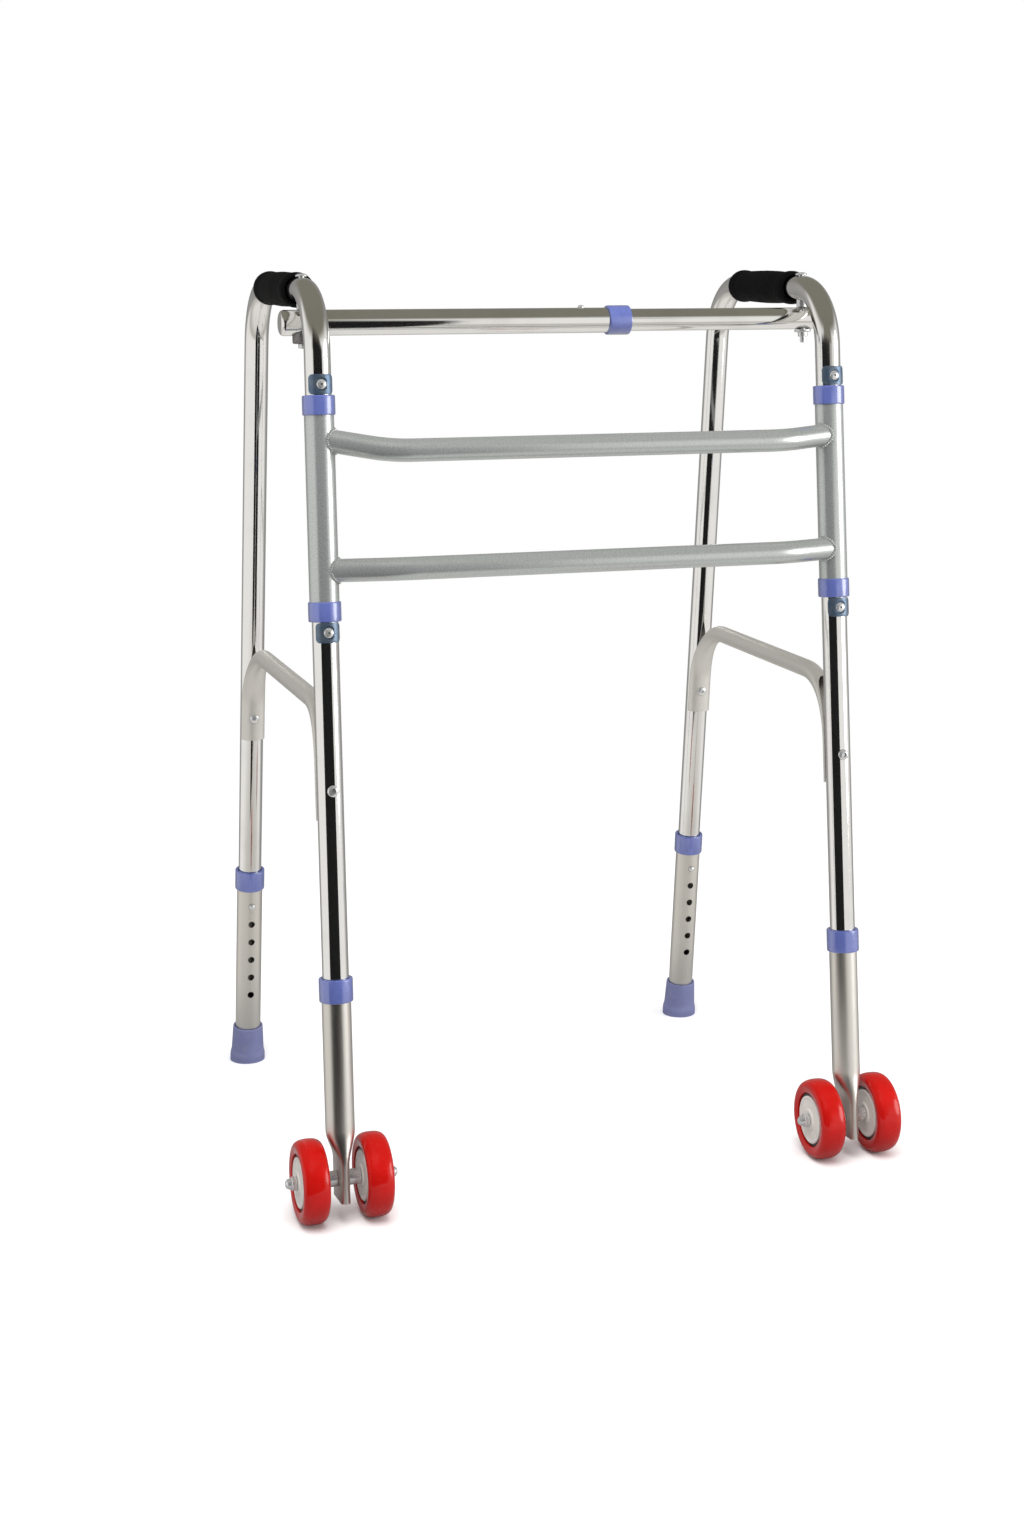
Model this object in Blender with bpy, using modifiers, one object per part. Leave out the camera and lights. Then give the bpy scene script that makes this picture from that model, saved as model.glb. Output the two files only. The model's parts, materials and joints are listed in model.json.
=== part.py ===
"""Folding walker with two pairs of front wheels, built as an assembly of separate pieces.

Frame: metres, +Z up, x = 0 half way between the side frames, z = 0 on the floor, -Y is the front.
Two chrome side frames swing on their front legs, which turn inside the sleeves of a welded front
frame. A telescoping crossbar ties the side frames together and shortens when they fold. Each leg
ends in a lower tube that slides on the upper one and is held by a snap button.
"""

import math

import bmesh
import bpy
from mathutils import Matrix, Vector

# Overall sizes, all in metres.
LEG_SPACING = 0.531
HANDLE_HEIGHT = 0.882
HANDLE_DEPTH = 0.2774
FRONT_LEAN = math.radians(5.32)
REAR_LEAN = math.radians(7.05)
FRONT_BEND = 0.0625
REAR_BEND = 0.0668

# Room left between pieces that touch, and between a round piece and the bore it runs in.
GAP = 0.0003
RUNNING = 0.0004

# Tubes: outer radius and wall. The lower legs and the sleeves run outside the main tube, and the
# crossbar's inner tube runs inside it.
TUBE_RADIUS = 0.0127
TUBE_WALL = 0.0010
LOWER_WALL = 0.0010
LOWER_RADIUS = TUBE_RADIUS + RUNNING + LOWER_WALL
SLEEVE_WALL = 0.0012
SLEEVE_RADIUS = TUBE_RADIUS + RUNNING + SLEEVE_WALL
RAIL_RADIUS = 0.0111
RAIL_WALL = 0.0010
INNER_BAR_WALL = 0.0010
INNER_BAR_RADIUS = TUBE_RADIUS - TUBE_WALL - RUNNING

# The front frame hangs below the hand tube, so its places are drops from the hand tube's centre.
UPPER_BUSHING_DROP = 0.1172
LOWER_BUSHING_DROP = 0.2935
BUSHING_LENGTH = 0.0190
BUSHING_RADIUS = 0.0158
BUSHING_CUP = 0.0060
RING_EDGE = 0.0012
PLATE_HEIGHT = 0.0192
PLATE_THICKNESS = 0.0022
PLATE_HALF_ANGLE = math.radians(50)
PLATE_SEAT_DEPTH = 0.0010
PLATE_SEAT_MARGIN = 0.0010

# The two bowed rails of the front frame: drops at the left end, the middle and the right end.
UPPER_RAIL_LEFT_DROP = 0.1398
UPPER_RAIL_MIDDLE_DROP = 0.1500
UPPER_RAIL_RIGHT_DROP = 0.1475
LOWER_RAIL_LEFT_DROP = 0.2645
LOWER_RAIL_MIDDLE_DROP = 0.2617
LOWER_RAIL_RIGHT_DROP = 0.2630
RAIL_BOW = 0.028
RAIL_SWEEP = math.radians(24)
RAIL_BEND = 0.090
WELD_SWELL = 1.13
WELD_REACH = 0.0030
WELD_FADE = 0.0030

# Lower legs, measured from the floor.
FRONT_COLLAR_TOP = 0.2312
REAR_COLLAR_TOP = 0.2295
COLLAR_LENGTH = 0.0225
COLLAR_RADIUS = 0.0163
COLLAR_LIP = 0.0020
FRONT_BUTTON_HEIGHT = 0.2035
REAR_BUTTON_HEIGHT = 0.1895
HOLE_PITCH = 0.0213
HOLE_COUNT = 6
BUTTON_RADIUS = 0.0034
BUTTON_REACH = 0.0028
TUBE_BELOW_BUTTON = 0.0090
FLAT_START = 0.0870
FLAT_FULL = 0.0560
FLAT_END = 0.0175
FLAT_THICKNESS = 0.0090

# Rubber feet.
FOOT_TOP = 0.0420
FOOT_SOLE = 0.0080
FOOT_TOP_RADIUS = 0.0167
FOOT_RADIUS = 0.0195
FOOT_FLARE = 0.0012

# Wheels.
WHEEL_RADIUS = 0.0400
WHEEL_WIDTH = 0.0260
WHEEL_OFFSET = 0.0310
SHOULDER_RADIUS = 0.0338
TREAD_DROP = 0.0017
TREAD_WIDTH = 0.0150
RIM_RADIUS = 0.0272
RIM_INSET = 0.0010
HUB_RADIUS = 0.0245
HUB_BORE = 0.0044
HUB_INSET = 0.0002
HUB_FACE_INSET = 0.0012
HUB_GROOVE = 0.0035
AXLE_RADIUS = 0.0040
AXLE_BOSS_RADIUS = 0.0075
AXLE_NUT_RADIUS = 0.0066
AXLE_END = 0.0565

# Grips on the hand tubes, measured back from the front leg's line.
GRIP_START = 0.0745
GRIP_LENGTH = 0.1430
GRIP_RADIUS = 0.0176

# Side braces. Each end is opened from a round tube into a trough that hugs the leg.
BRACE_DROP = 0.3972
BRACE_RADIUS = 0.0092
BRACE_WALL = 0.0014
BRACE_BEND = 0.070
BRACE_FRONT_END_DROP = 0.5020
BRACE_REAR_END_DROP = 0.4980
SADDLE_OFFSET = 0.0066
SADDLE_WIDTH = 0.0135
SADDLE_DEPTH = 0.0083
SADDLE_LIP = 0.0030
BRACE_SCREW_DROP = 0.4720

# Crossbar.
PIVOT_BACK = 0.0591
BAR_DROP = 0.0315
BAR_LEFT_END = -0.0232
BAR_RIGHT_END = 0.0134
BAR_OUTER_LENGTH = 0.3416
BAR_OVERLAP = 0.1530
BAR_COLLAR_LENGTH = 0.0235
BAR_COLLAR_RADIUS = 0.0149
BAR_COLLAR_CUP = 0.0050
BAR_END_ROUND = 0.0042
BAR_BUTTON_BACK = 0.0315
BOLT_RADIUS = 0.0030
BOLT_HEAD_RADIUS = 0.0060
BOLT_HEAD_HEIGHT = 0.0034
BOLT_TAIL = 0.0250
BOLT_SADDLE = 0.0008
NUT_RADIUS = 0.0050
NUT_HEIGHT = 0.0040
FLANGE_RADIUS = 0.0085
FLANGE_HEIGHT = 0.0022
SPACER_RADIUS = 0.0056
SPACER_SADDLE = 0.0030
BEND_ROOM = 0.0005
WASHER_RADIUS = 0.0105
WASHER_DROP = 0.0075

# Small screws.
SCREW_RADIUS = 0.0024
SCREW_HEAD_RADIUS = 0.0053
SCREW_HEAD_HEIGHT = 0.0028
SCREW_LENGTH = 0.0060
SCREW_TIP = 0.0050

# Facets round each kind of piece.
TUBE_SIDES = 14
RING_SIDES = 16
SMALL_SIDES = 10
SCREW_SIDES = 8
WHEEL_SIDES = 18
HOLE_SIDES = 8
COPE_SIDES = 14
RAIL_SIDES = 10
BRACE_SIDES = 8
BRACE_STEPS = 4

# How far a hole's cutter goes, as a share of the radius that it has to leave.
THROUGH = 1.3

HALF_SPACING = LEG_SPACING / 2
UPPER_BUSHING_HEIGHT = HANDLE_HEIGHT - UPPER_BUSHING_DROP
LOWER_BUSHING_HEIGHT = HANDLE_HEIGHT - LOWER_BUSHING_DROP
BRACE_HEIGHT = HANDLE_HEIGHT - BRACE_DROP
BRACE_FRONT_END = HANDLE_HEIGHT - BRACE_FRONT_END_DROP
BRACE_REAR_END = HANDLE_HEIGHT - BRACE_REAR_END_DROP
BRACE_SCREW_HEIGHT = HANDLE_HEIGHT - BRACE_SCREW_DROP

CLEAR_COLOURS = {
    "chrome": ((0.62, 0.62, 0.60), 0.16, 1.0),
    "satin_tube": ((0.58, 0.55, 0.50), 0.34, 1.0),
    "gray_paint": ((0.33, 0.37, 0.34), 0.42, 0.55),
    "blue_plastic": ((0.13, 0.17, 0.50), 0.42, 0.0),
    "pale_rubber": ((0.21, 0.21, 0.42), 0.62, 0.0),
    "black_foam": ((0.008, 0.008, 0.009), 0.75, 0.0),
    "red_tyre": ((0.58, 0.008, 0.005), 0.30, 0.0),
    "hub_plastic": ((0.58, 0.52, 0.46), 0.38, 0.0),
    "blue_zinc": ((0.03, 0.09, 0.12), 0.35, 0.8),
    "bright_screw": ((0.72, 0.72, 0.72), 0.22, 1.0),
}


def clear_scene():
    for thing in list(bpy.data.objects):
        bpy.data.objects.remove(thing, do_unlink=True)


def make_collection(name):
    collection = bpy.data.collections.new(name)
    bpy.context.scene.collection.children.link(collection)
    return collection


def make_material(kind, name):
    colour, roughness, metallic = CLEAR_COLOURS[kind]
    material = bpy.data.materials.new(name)
    material.use_nodes = True
    shader = material.node_tree.nodes["Principled BSDF"]
    shader.inputs["Base Color"].default_value = (*colour, 1.0)
    shader.inputs["Roughness"].default_value = roughness
    shader.inputs["Metallic"].default_value = metallic
    material.diffuse_color = (*colour, 1.0)
    return material


# Places in a side frame, whose own origin is on the front leg's line at the hand tube's height.

def front_point(height):
    """A point of the front leg's line at a height above the floor."""
    return Vector((0.0, (height - HANDLE_HEIGHT) * math.tan(FRONT_LEAN), height - HANDLE_HEIGHT))


def rear_point(height):
    """A point of the rear leg's line at a height above the floor."""
    drop = HANDLE_HEIGHT - height
    return Vector((0.0, HANDLE_DEPTH + drop * math.tan(REAR_LEAN), -drop))


FRONT_UP = Vector((0.0, math.sin(FRONT_LEAN), math.cos(FRONT_LEAN)))
REAR_UP = Vector((0.0, -math.sin(REAR_LEAN), math.cos(REAR_LEAN)))
FRONT_TURN = (-FRONT_LEAN, 0.0, 0.0)
REAR_TURN = (REAR_LEAN, 0.0, 0.0)
FRONT_Y = -(front_point(WHEEL_RADIUS).y - WHEEL_RADIUS + rear_point(0.0).y + FOOT_RADIUS) / 2


# Makers of shapes. Each leaves one object in the collection it is given.

def link(name, mesh, collection):
    piece = bpy.data.objects.new(name, mesh)
    collection.objects.link(piece)
    return piece


def place(piece, parent, location=(0.0, 0.0, 0.0), turn=(0.0, 0.0, 0.0)):
    piece.parent = parent
    piece.location = location
    piece.rotation_euler = turn
    return piece


def empty(name, parent, location, turn=(0.0, 0.0, 0.0)):
    return place(link(name, None, ASSEMBLY), parent, location, turn)


def smooth(mesh, degrees=35):
    mesh.shade_smooth()
    mesh.set_sharp_from_angle(angle=math.radians(degrees))


def baked(name, source, collection):
    """The evaluated shape of an object as a plain mesh, which replaces the object."""
    bpy.context.view_layer.update()
    graph = bpy.context.evaluated_depsgraph_get()
    mesh = bpy.data.meshes.new_from_object(source.evaluated_get(graph))
    work = bmesh.new()
    work.from_mesh(mesh)
    bmesh.ops.remove_doubles(work, verts=work.verts, dist=1e-6)
    bmesh.ops.recalc_face_normals(work, faces=work.faces)
    work.to_mesh(mesh)
    work.free()
    mesh.name = name
    piece = link(name, mesh, collection)
    piece.matrix_world = source.matrix_world.copy()
    bpy.data.objects.remove(source, do_unlink=True)
    return piece


def revolved(name, profile, sides, collection, closed=False):
    """A turned piece about its own Z. The profile is (radius, height), from the top down the outside."""
    mesh = bpy.data.meshes.new(name + "_profile")
    points = [(radius, 0.0, height) for radius, height in profile]
    edges = [(i, i + 1) for i in range(len(points) - 1)]
    if closed:
        edges.append((len(points) - 1, 0))
    mesh.from_pydata(points, edges, [])
    source = link(name + "_profile", mesh, collection)
    screw = source.modifiers.new("turn", "SCREW")
    screw.axis = "Z"
    screw.steps = sides
    screw.render_steps = sides
    screw.use_merge_vertices = True
    screw.merge_threshold = 1e-5
    piece = baked(name, source, collection)
    smooth(piece.data)
    return piece


def ring(name, outer, inner, bottom, top, sides, collection):
    """A plain hollow cylinder about its own Z."""
    profile = [(outer, top), (outer, bottom), (inner, bottom), (inner, top)]
    return revolved(name, profile, sides, collection, closed=True)


def curve_along(name, points, radius, sides, capped, collection, swell=None):
    curve = bpy.data.curves.new(name + "_path", "CURVE")
    curve.dimensions = "3D"
    curve.bevel_mode = "ROUND"
    curve.bevel_depth = radius
    curve.bevel_resolution = (sides - 4) // 2
    curve.use_fill_caps = capped
    line = curve.splines.new("POLY")
    line.points.add(len(points) - 1)
    for i, point in enumerate(points):
        line.points[i].co = (*point, 1.0)
        line.points[i].radius = 1.0 if swell is None else swell[i]
    return link(name + "_path", curve, collection)


def swept_tube(name, points, radius, wall, sides, collection, swell=None):
    """A bent tube that is open at both ends."""
    curve = curve_along(name, points, radius, sides, False, collection, swell)
    skin = baked(name + "_skin", curve, collection)
    if skin_faces_in(skin.data, Vector(points[0])):
        skin.data.flip_normals()
    shell = skin.modifiers.new("wall", "SOLIDIFY")
    shell.thickness = wall
    shell.offset = -1.0
    shell.use_even_offset = True
    piece = baked(name, skin, collection)
    smooth(piece.data)
    return piece


def skin_faces_in(mesh, start):
    """True where the faces nearest to the start of the path point towards the path."""
    nearest = min(mesh.polygons, key=lambda face: (Vector(face.center) - start).length)
    return nearest.normal.dot(Vector(nearest.center) - start) < 0


def extruded(name, outline, depth, collection):
    """A flat outline in XY, drawn up along Z."""
    curve = bpy.data.curves.new(name + "_outline", "CURVE")
    curve.dimensions = "2D"
    curve.fill_mode = "BOTH"
    curve.extrude = depth / 2
    line = curve.splines.new("POLY")
    line.points.add(len(outline) - 1)
    for i, (x, y) in enumerate(outline):
        line.points[i].co = (x, y, 0.0, 1.0)
    line.use_cyclic_u = True
    piece = baked(name, link(name + "_outline", curve, collection), collection)
    smooth(piece.data)
    return piece


def lofted(name, sections, collection):
    """A closed skin through rings of points that all have the same count."""
    work = bmesh.new()
    rings = [[work.verts.new(point) for point in section] for section in sections]
    count = len(rings[0])
    for low, high in zip(rings, rings[1:]):
        for i in range(count):
            j = (i + 1) % count
            work.faces.new((low[i], low[j], high[j], high[i]))
    work.faces.new(rings[0])
    work.faces.new(rings[-1])
    bmesh.ops.recalc_face_normals(work, faces=work.faces)
    mesh = bpy.data.meshes.new(name)
    work.to_mesh(mesh)
    work.free()
    piece = link(name, mesh, collection)
    smooth(mesh)
    return piece


def rods(name, lines, sides=HOLE_SIDES):
    """One cutter made of straight rods, each given as start, end and radius."""
    work = bmesh.new()
    for start, end, radius in lines:
        start = Vector(start)
        along = Vector(end) - start
        turn = along.to_track_quat("Z", "Y").to_matrix().to_4x4()
        middle = Matrix.Translation(start + along / 2) @ turn
        bmesh.ops.create_cone(work, cap_ends=True, cap_tris=False, segments=sides, radius1=radius,
                              radius2=radius, depth=along.length, matrix=middle)
    mesh = bpy.data.meshes.new(name)
    work.to_mesh(mesh)
    work.free()
    return link(name, mesh, CUTTERS)


def round_clear(radius, sides):
    """The corner radius of a round cutter whose flats stand clear of a radius."""
    return (radius + GAP) / math.cos(math.pi / sides)


def cut(piece, cutter):
    cutter.hide_render = True
    cutter.display_type = "WIRE"
    difference = piece.modifiers.new("cut", "BOOLEAN")
    difference.operation = "DIFFERENCE"
    difference.solver = "EXACT"
    difference.object = cutter


def give(piece, kind):
    piece.data.materials.clear()
    piece.data.materials.append(make_material(kind, piece.name + "_" + kind))


def rounded_path(corners, radii, steps):
    """Straight runs joined by arcs. The radii and steps belong to the inner corners."""
    path = [Vector(corners[0])]
    for i in range(1, len(corners) - 1):
        corner = Vector(corners[i])
        back = (Vector(corners[i - 1]) - corner).normalized()
        on = (Vector(corners[i + 1]) - corner).normalized()
        turn = math.pi - back.angle(on)
        reach = radii[i - 1] * math.tan(turn / 2)
        middle = corner + (back + on).normalized() * radii[i - 1] / math.cos(turn / 2)
        start = corner + back * reach - middle
        axis = back.cross(on).normalized()
        for step in range(steps[i - 1] + 1):
            swing = Matrix.Rotation(-turn * step / steps[i - 1], 3, axis)
            path.append(middle + swing @ start)
    path.append(Vector(corners[-1]))
    return path


# Pieces of the front frame.

def sleeve(prefix, frame):
    bottom = (LOWER_BUSHING_HEIGHT - HANDLE_HEIGHT) / math.cos(FRONT_LEAN) - BUSHING_CUP
    top = (UPPER_BUSHING_HEIGHT - HANDLE_HEIGHT) / math.cos(FRONT_LEAN) + BUSHING_CUP
    piece = ring(prefix + "_sleeve", SLEEVE_RADIUS, SLEEVE_RADIUS - SLEEVE_WALL, bottom, top,
                 TUBE_SIDES, ASSEMBLY)
    place(piece, frame, turn=FRONT_TURN)
    give(piece, "gray_paint")


def bushing(name, frame, height, downward):
    """A flanged ring whose cup holds the sleeve's end. Its cup faces down unless it is turned over."""
    bore = TUBE_RADIUS + GAP
    cup = SLEEVE_RADIUS + RUNNING
    floor = BUSHING_CUP + GAP
    profile = [(BUSHING_RADIUS - RING_EDGE, BUSHING_LENGTH), (BUSHING_RADIUS, BUSHING_LENGTH - RING_EDGE),
               (BUSHING_RADIUS, 0.0), (cup, 0.0), (cup, floor),
               (bore, floor), (bore, BUSHING_LENGTH)]
    piece = revolved(name, profile, RING_SIDES, ASSEMBLY, closed=True)
    turn = (math.pi - FRONT_LEAN, 0.0, 0.0) if downward else FRONT_TURN
    place(piece, frame, front_point(height), turn)
    give(piece, "blue_plastic")


def rail(name, left, middle, right, left_frame):
    """A bowed rail between the sleeves, at a height at each end and one in the middle. Its swollen
    ends stand for the weld beads."""
    run = RAIL_BOW / math.tan(RAIL_SWEEP)
    corners = []
    for x, height, forward in ((0.0, left, 0.0), (run, middle, RAIL_BOW),
                               (LEG_SPACING - run, middle, RAIL_BOW), (LEG_SPACING, right, 0.0)):
        corners.append(front_point(height) + Vector((x, -forward, 0.0)))
    path = rounded_path(corners, (RAIL_BEND, RAIL_BEND), (3, 3))
    path = with_beads(path)
    swell = [1.0] * len(path)
    for i in (0, 1, -2, -1):
        swell[i] = WELD_SWELL
    piece = swept_tube(name, path, RAIL_RADIUS, RAIL_WALL, RAIL_SIDES, ASSEMBLY, swell)
    place(piece, left_frame)
    legs = []
    for x in (0.0, LEG_SPACING):
        foot = front_point(min(left, right)) + Vector((x, 0.0, 0.0))
        along = FRONT_UP * 3 * SLEEVE_RADIUS
        legs.append((foot - along, foot + along, round_clear(SLEEVE_RADIUS, COPE_SIDES)))
    cutter = rods(name + "_cope", legs, COPE_SIDES)
    place(cutter, left_frame)
    cut(piece, cutter)
    give(piece, "gray_paint")


def with_beads(path):
    """The path with two more points near each end, where the weld bead begins and fades out."""
    first = (path[1] - path[0]).normalized()
    last = (path[-2] - path[-1]).normalized()
    full = SLEEVE_RADIUS + WELD_REACH
    faded = full + WELD_FADE
    start = [path[0], path[0] + first * full, path[0] + first * faded]
    end = [path[-1] + last * faded, path[-1] + last * full, path[-1]]
    return start + path[1:-1] + end


# Pieces of a side frame.

def side_tube(prefix, frame):
    front_end = FRONT_BUTTON_HEIGHT - TUBE_BELOW_BUTTON
    rear_end = REAR_BUTTON_HEIGHT - TUBE_BELOW_BUTTON
    corners = [front_point(front_end), (0.0, 0.0, 0.0), (0.0, HANDLE_DEPTH, 0.0), rear_point(rear_end)]
    path = rounded_path(corners, (FRONT_BEND, REAR_BEND), (5, 5))
    piece = swept_tube(prefix + "_side_tube", path, TUBE_RADIUS, TUBE_WALL, TUBE_SIDES, ASSEMBLY)
    place(piece, frame)
    through = THROUGH * TUBE_RADIUS
    back = front_back() * through
    holes = [bolt_line(-through, through, BOLT_RADIUS + GAP)]
    for height in (upper_plate_middle(), lower_plate_middle()):
        spot = front_point(height)
        holes.append((spot, spot - back, SCREW_RADIUS + GAP))
    spot = front_point(BRACE_SCREW_HEIGHT)
    holes.append((spot + back, spot - back, SCREW_RADIUS + GAP))
    spot = rear_point(BRACE_SCREW_HEIGHT)
    holes.append((spot, spot + rear_front() * through, SCREW_RADIUS + GAP))
    holes.append(button_line(front_point(FRONT_BUTTON_HEIGHT), front_back(), through))
    holes.append(button_line(rear_point(REAR_BUTTON_HEIGHT), rear_front(), through))
    cutter = rods(prefix + "_side_tube_holes", holes)
    place(cutter, frame)
    cut(piece, cutter)
    give(piece, "chrome")


def bolt_line(low, high, radius):
    """A rod on the crossbar pivot's axis, from below to above the hand tube's centre line."""
    middle = Vector((0.0, PIVOT_BACK, 0.0))
    return (middle + FRONT_UP * low, middle + FRONT_UP * high, radius)


def front_back():
    """The way the front leg's button faces: rearward, square to the leg."""
    return Vector((0.0, math.cos(FRONT_LEAN), -math.sin(FRONT_LEAN)))


def rear_front():
    """The way the rear leg's button faces: forward, square to the leg."""
    return Vector((0.0, -math.cos(REAR_LEAN), -math.sin(REAR_LEAN)))


def button_line(spot, facing, through):
    return (spot, spot + facing * through, BUTTON_RADIUS + GAP)


def upper_plate_middle():
    return UPPER_BUSHING_HEIGHT + BUSHING_LENGTH + GAP + PLATE_HEIGHT / 2


def lower_plate_middle():
    return LOWER_BUSHING_HEIGHT - BUSHING_LENGTH - GAP - PLATE_HEIGHT / 2


def grip(prefix, frame):
    bore = TUBE_RADIUS + GAP
    full = GRIP_RADIUS
    length = GRIP_LENGTH
    profile = [(bore, length), (0.86 * full, length), (full, 0.94 * length), (0.93 * full, 0.85 * length),
               (0.99 * full, 0.50 * length), (0.925 * full, 0.16 * length), (full, 0.08 * length),
               (0.86 * full, 0.0), (bore, 0.0)]
    piece = revolved(prefix + "_grip", profile, TUBE_SIDES, ASSEMBLY, closed=True)
    place(piece, frame, (0.0, GRIP_START, 0.0), (-math.pi / 2, 0.0, 0.0))
    give(piece, "black_foam")


def eased(t):
    """0 to 1 with a soft start and end."""
    t = min(max(t, 0.0), 1.0)
    return t * t * (3.0 - 2.0 * t)


def brace_sections(shrink, opening, ends):
    """Rings along the brace, round in the middle. Through each bend the ring widens, and its side
    towards the leg draws in to a lip. The opening moves that side out again, to cut the lip away.
    Rings at the ends are left out where the leg's own clearance shapes the trough."""
    rear_set = Vector((0.0, -SADDLE_OFFSET / math.cos(REAR_LEAN), 0.0))
    front_set = Vector((0.0, SADDLE_OFFSET / math.cos(FRONT_LEAN), 0.0))
    corners = [rear_point(BRACE_REAR_END) + rear_set, rear_point(BRACE_HEIGHT) + rear_set,
               front_point(BRACE_HEIGHT) + front_set, front_point(BRACE_FRONT_END) + front_set]
    path = rounded_path(corners, (BRACE_BEND, BRACE_BEND), (BRACE_STEPS, BRACE_STEPS))
    last = len(path) - 1
    sections = []
    for i, point in enumerate(path):
        if min(i, last - i) < ends:
            continue
        opened = 1.0 - eased((min(i, last - i) - 1) / BRACE_STEPS)
        wide = BRACE_RADIUS + (SADDLE_WIDTH - BRACE_RADIUS) * opened - shrink
        deep = BRACE_RADIUS + (SADDLE_DEPTH - BRACE_RADIUS) * opened - shrink
        lip = BRACE_RADIUS + (SADDLE_LIP - BRACE_RADIUS) * opened - shrink + opening * opened
        along = (path[min(i + 1, last)] - path[max(i - 1, 0)]).normalized()
        out = Vector((1.0, 0.0, 0.0)).cross(along)
        section = []
        for k in range(BRACE_SIDES):
            angle = 2 * math.pi * (k + 0.5) / BRACE_SIDES
            level = math.sin(angle)
            level *= deep if level > 0.0 else lip
            section.append(point + Vector((wide * math.cos(angle), 0.0, 0.0)) + out * level)
        sections.append(section)
    return sections


def brace(prefix, frame):
    piece = lofted(prefix + "_brace", brace_sections(0.0, 0.0, 0), ASSEMBLY)
    place(piece, frame)
    spare = 2 * BRACE_RADIUS
    rise = BRACE_HEIGHT - BRACE_FRONT_END + 3 * spare
    legs = []
    for spot, up in ((front_point(BRACE_FRONT_END - spare), FRONT_UP),
                     (rear_point(BRACE_REAR_END - spare), REAR_UP)):
        legs.append((spot, spot + up * rise, round_clear(TUBE_RADIUS, TUBE_SIDES)))
    saddles = rods(prefix + "_brace_saddles", legs, TUBE_SIDES)
    reach = THROUGH * (SADDLE_OFFSET + SADDLE_DEPTH)
    front = front_point(BRACE_SCREW_HEIGHT)
    rear = rear_point(BRACE_SCREW_HEIGHT)
    holes = rods(prefix + "_brace_holes", [(front, front + front_back() * reach, SCREW_RADIUS + GAP),
                                           (rear, rear + rear_front() * reach, SCREW_RADIUS + GAP)])
    hollow = lofted(prefix + "_brace_hollow", brace_sections(BRACE_WALL, BRACE_RADIUS, 2), CUTTERS)
    for cutter in (saddles, holes, hollow):
        place(cutter, frame)
        cut(piece, cutter)
    give(piece, "satin_tube")


def screw_profile(shank):
    """Round head with a small recess, and a plain shank that runs down from z = 0."""
    head = SCREW_HEAD_RADIUS
    rise = SCREW_HEAD_HEIGHT
    return [(0.0, 0.5 * rise), (0.5 * head, rise), (head, 0.0), (SCREW_RADIUS, 0.0),
            (SCREW_RADIUS, -shank), (0.0, -shank)]


def screw(name, frame, spot, facing, seat, shank):
    """A screw square to a leg. Its head sits at the seat distance in front of the spot."""
    piece = revolved(name, screw_profile(shank), SCREW_SIDES, ASSEMBLY)
    place(piece, frame, spot + facing * seat, facing.to_track_quat("Z", "Y").to_euler())
    give(piece, "bright_screw")


def stop_plate(name, frame, height):
    """A curved plate on the front of the front leg that keeps the bushing in place, with a flat
    round seat for its screw."""
    inner = TUBE_RADIUS + GAP
    outer = inner + PLATE_THICKNESS
    steps = 6
    outline = []
    for i in range(steps + 1):
        angle = PLATE_HALF_ANGLE * (2 * i / steps - 1)
        outline.append((outer * math.sin(angle), -outer * math.cos(angle)))
    for i in range(steps, -1, -1):
        angle = PLATE_HALF_ANGLE * (2 * i / steps - 1)
        outline.append((inner * math.sin(angle), -inner * math.cos(angle)))
    piece = extruded(name, outline, PLATE_HEIGHT, ASSEMBLY)
    place(piece, frame, front_point(height), FRONT_TURN)
    spot = front_point(height)
    beyond = spot - front_back() * (outer + PLATE_THICKNESS)
    seat = rods(name + "_seat", [(spot - front_back() * (outer - PLATE_SEAT_DEPTH), beyond,
                                  SCREW_HEAD_RADIUS + PLATE_SEAT_MARGIN)], SMALL_SIDES)
    place(seat, frame)
    cut(piece, seat)
    hole = rods(name + "_hole", [(spot, beyond, SCREW_RADIUS + GAP)])
    place(hole, frame)
    cut(piece, hole)
    give(piece, "blue_zinc")


def bar_level():
    """How far below the hand tube's centre line the crossbar's centre line is, along the bolt."""
    return BAR_DROP / math.cos(FRONT_LEAN)


def split_level(bar_radius):
    """The plane between a side frame's own pivot pieces and the crossbar."""
    return bar_radius + GAP - bar_level()


def pivot_bolt(prefix, frame, right):
    """The bolt through the hand tube. The right one stops at the open pivot's plane."""
    top = TUBE_RADIUS / math.cos(FRONT_LEAN) + BOLT_SADDLE
    head = [(0.0, top + BOLT_HEAD_HEIGHT), (0.6 * BOLT_HEAD_RADIUS, top + 0.85 * BOLT_HEAD_HEIGHT),
            (BOLT_HEAD_RADIUS, top + 0.3 * BOLT_HEAD_HEIGHT), (BOLT_HEAD_RADIUS, top), (BOLT_RADIUS, top)]
    if right:
        end = split_level(INNER_BAR_RADIUS) + GAP / 2
        profile = head + [(BOLT_RADIUS, end), (0.0, end)]
    else:
        under = -bar_level() - TUBE_RADIUS - WASHER_DROP - GAP
        end = -bar_level() - BOLT_TAIL
        profile = head + [(BOLT_RADIUS, under), (NUT_RADIUS, under), (NUT_RADIUS, under - NUT_HEIGHT),
                          (BOLT_RADIUS, under - NUT_HEIGHT), (BOLT_RADIUS, end), (0.0, end)]
    piece = revolved(prefix + "_pivot_bolt", profile, SMALL_SIDES, ASSEMBLY)
    place(piece, frame, (0.0, PIVOT_BACK, 0.0), FRONT_TURN)
    give(piece, "bright_screw")


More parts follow.
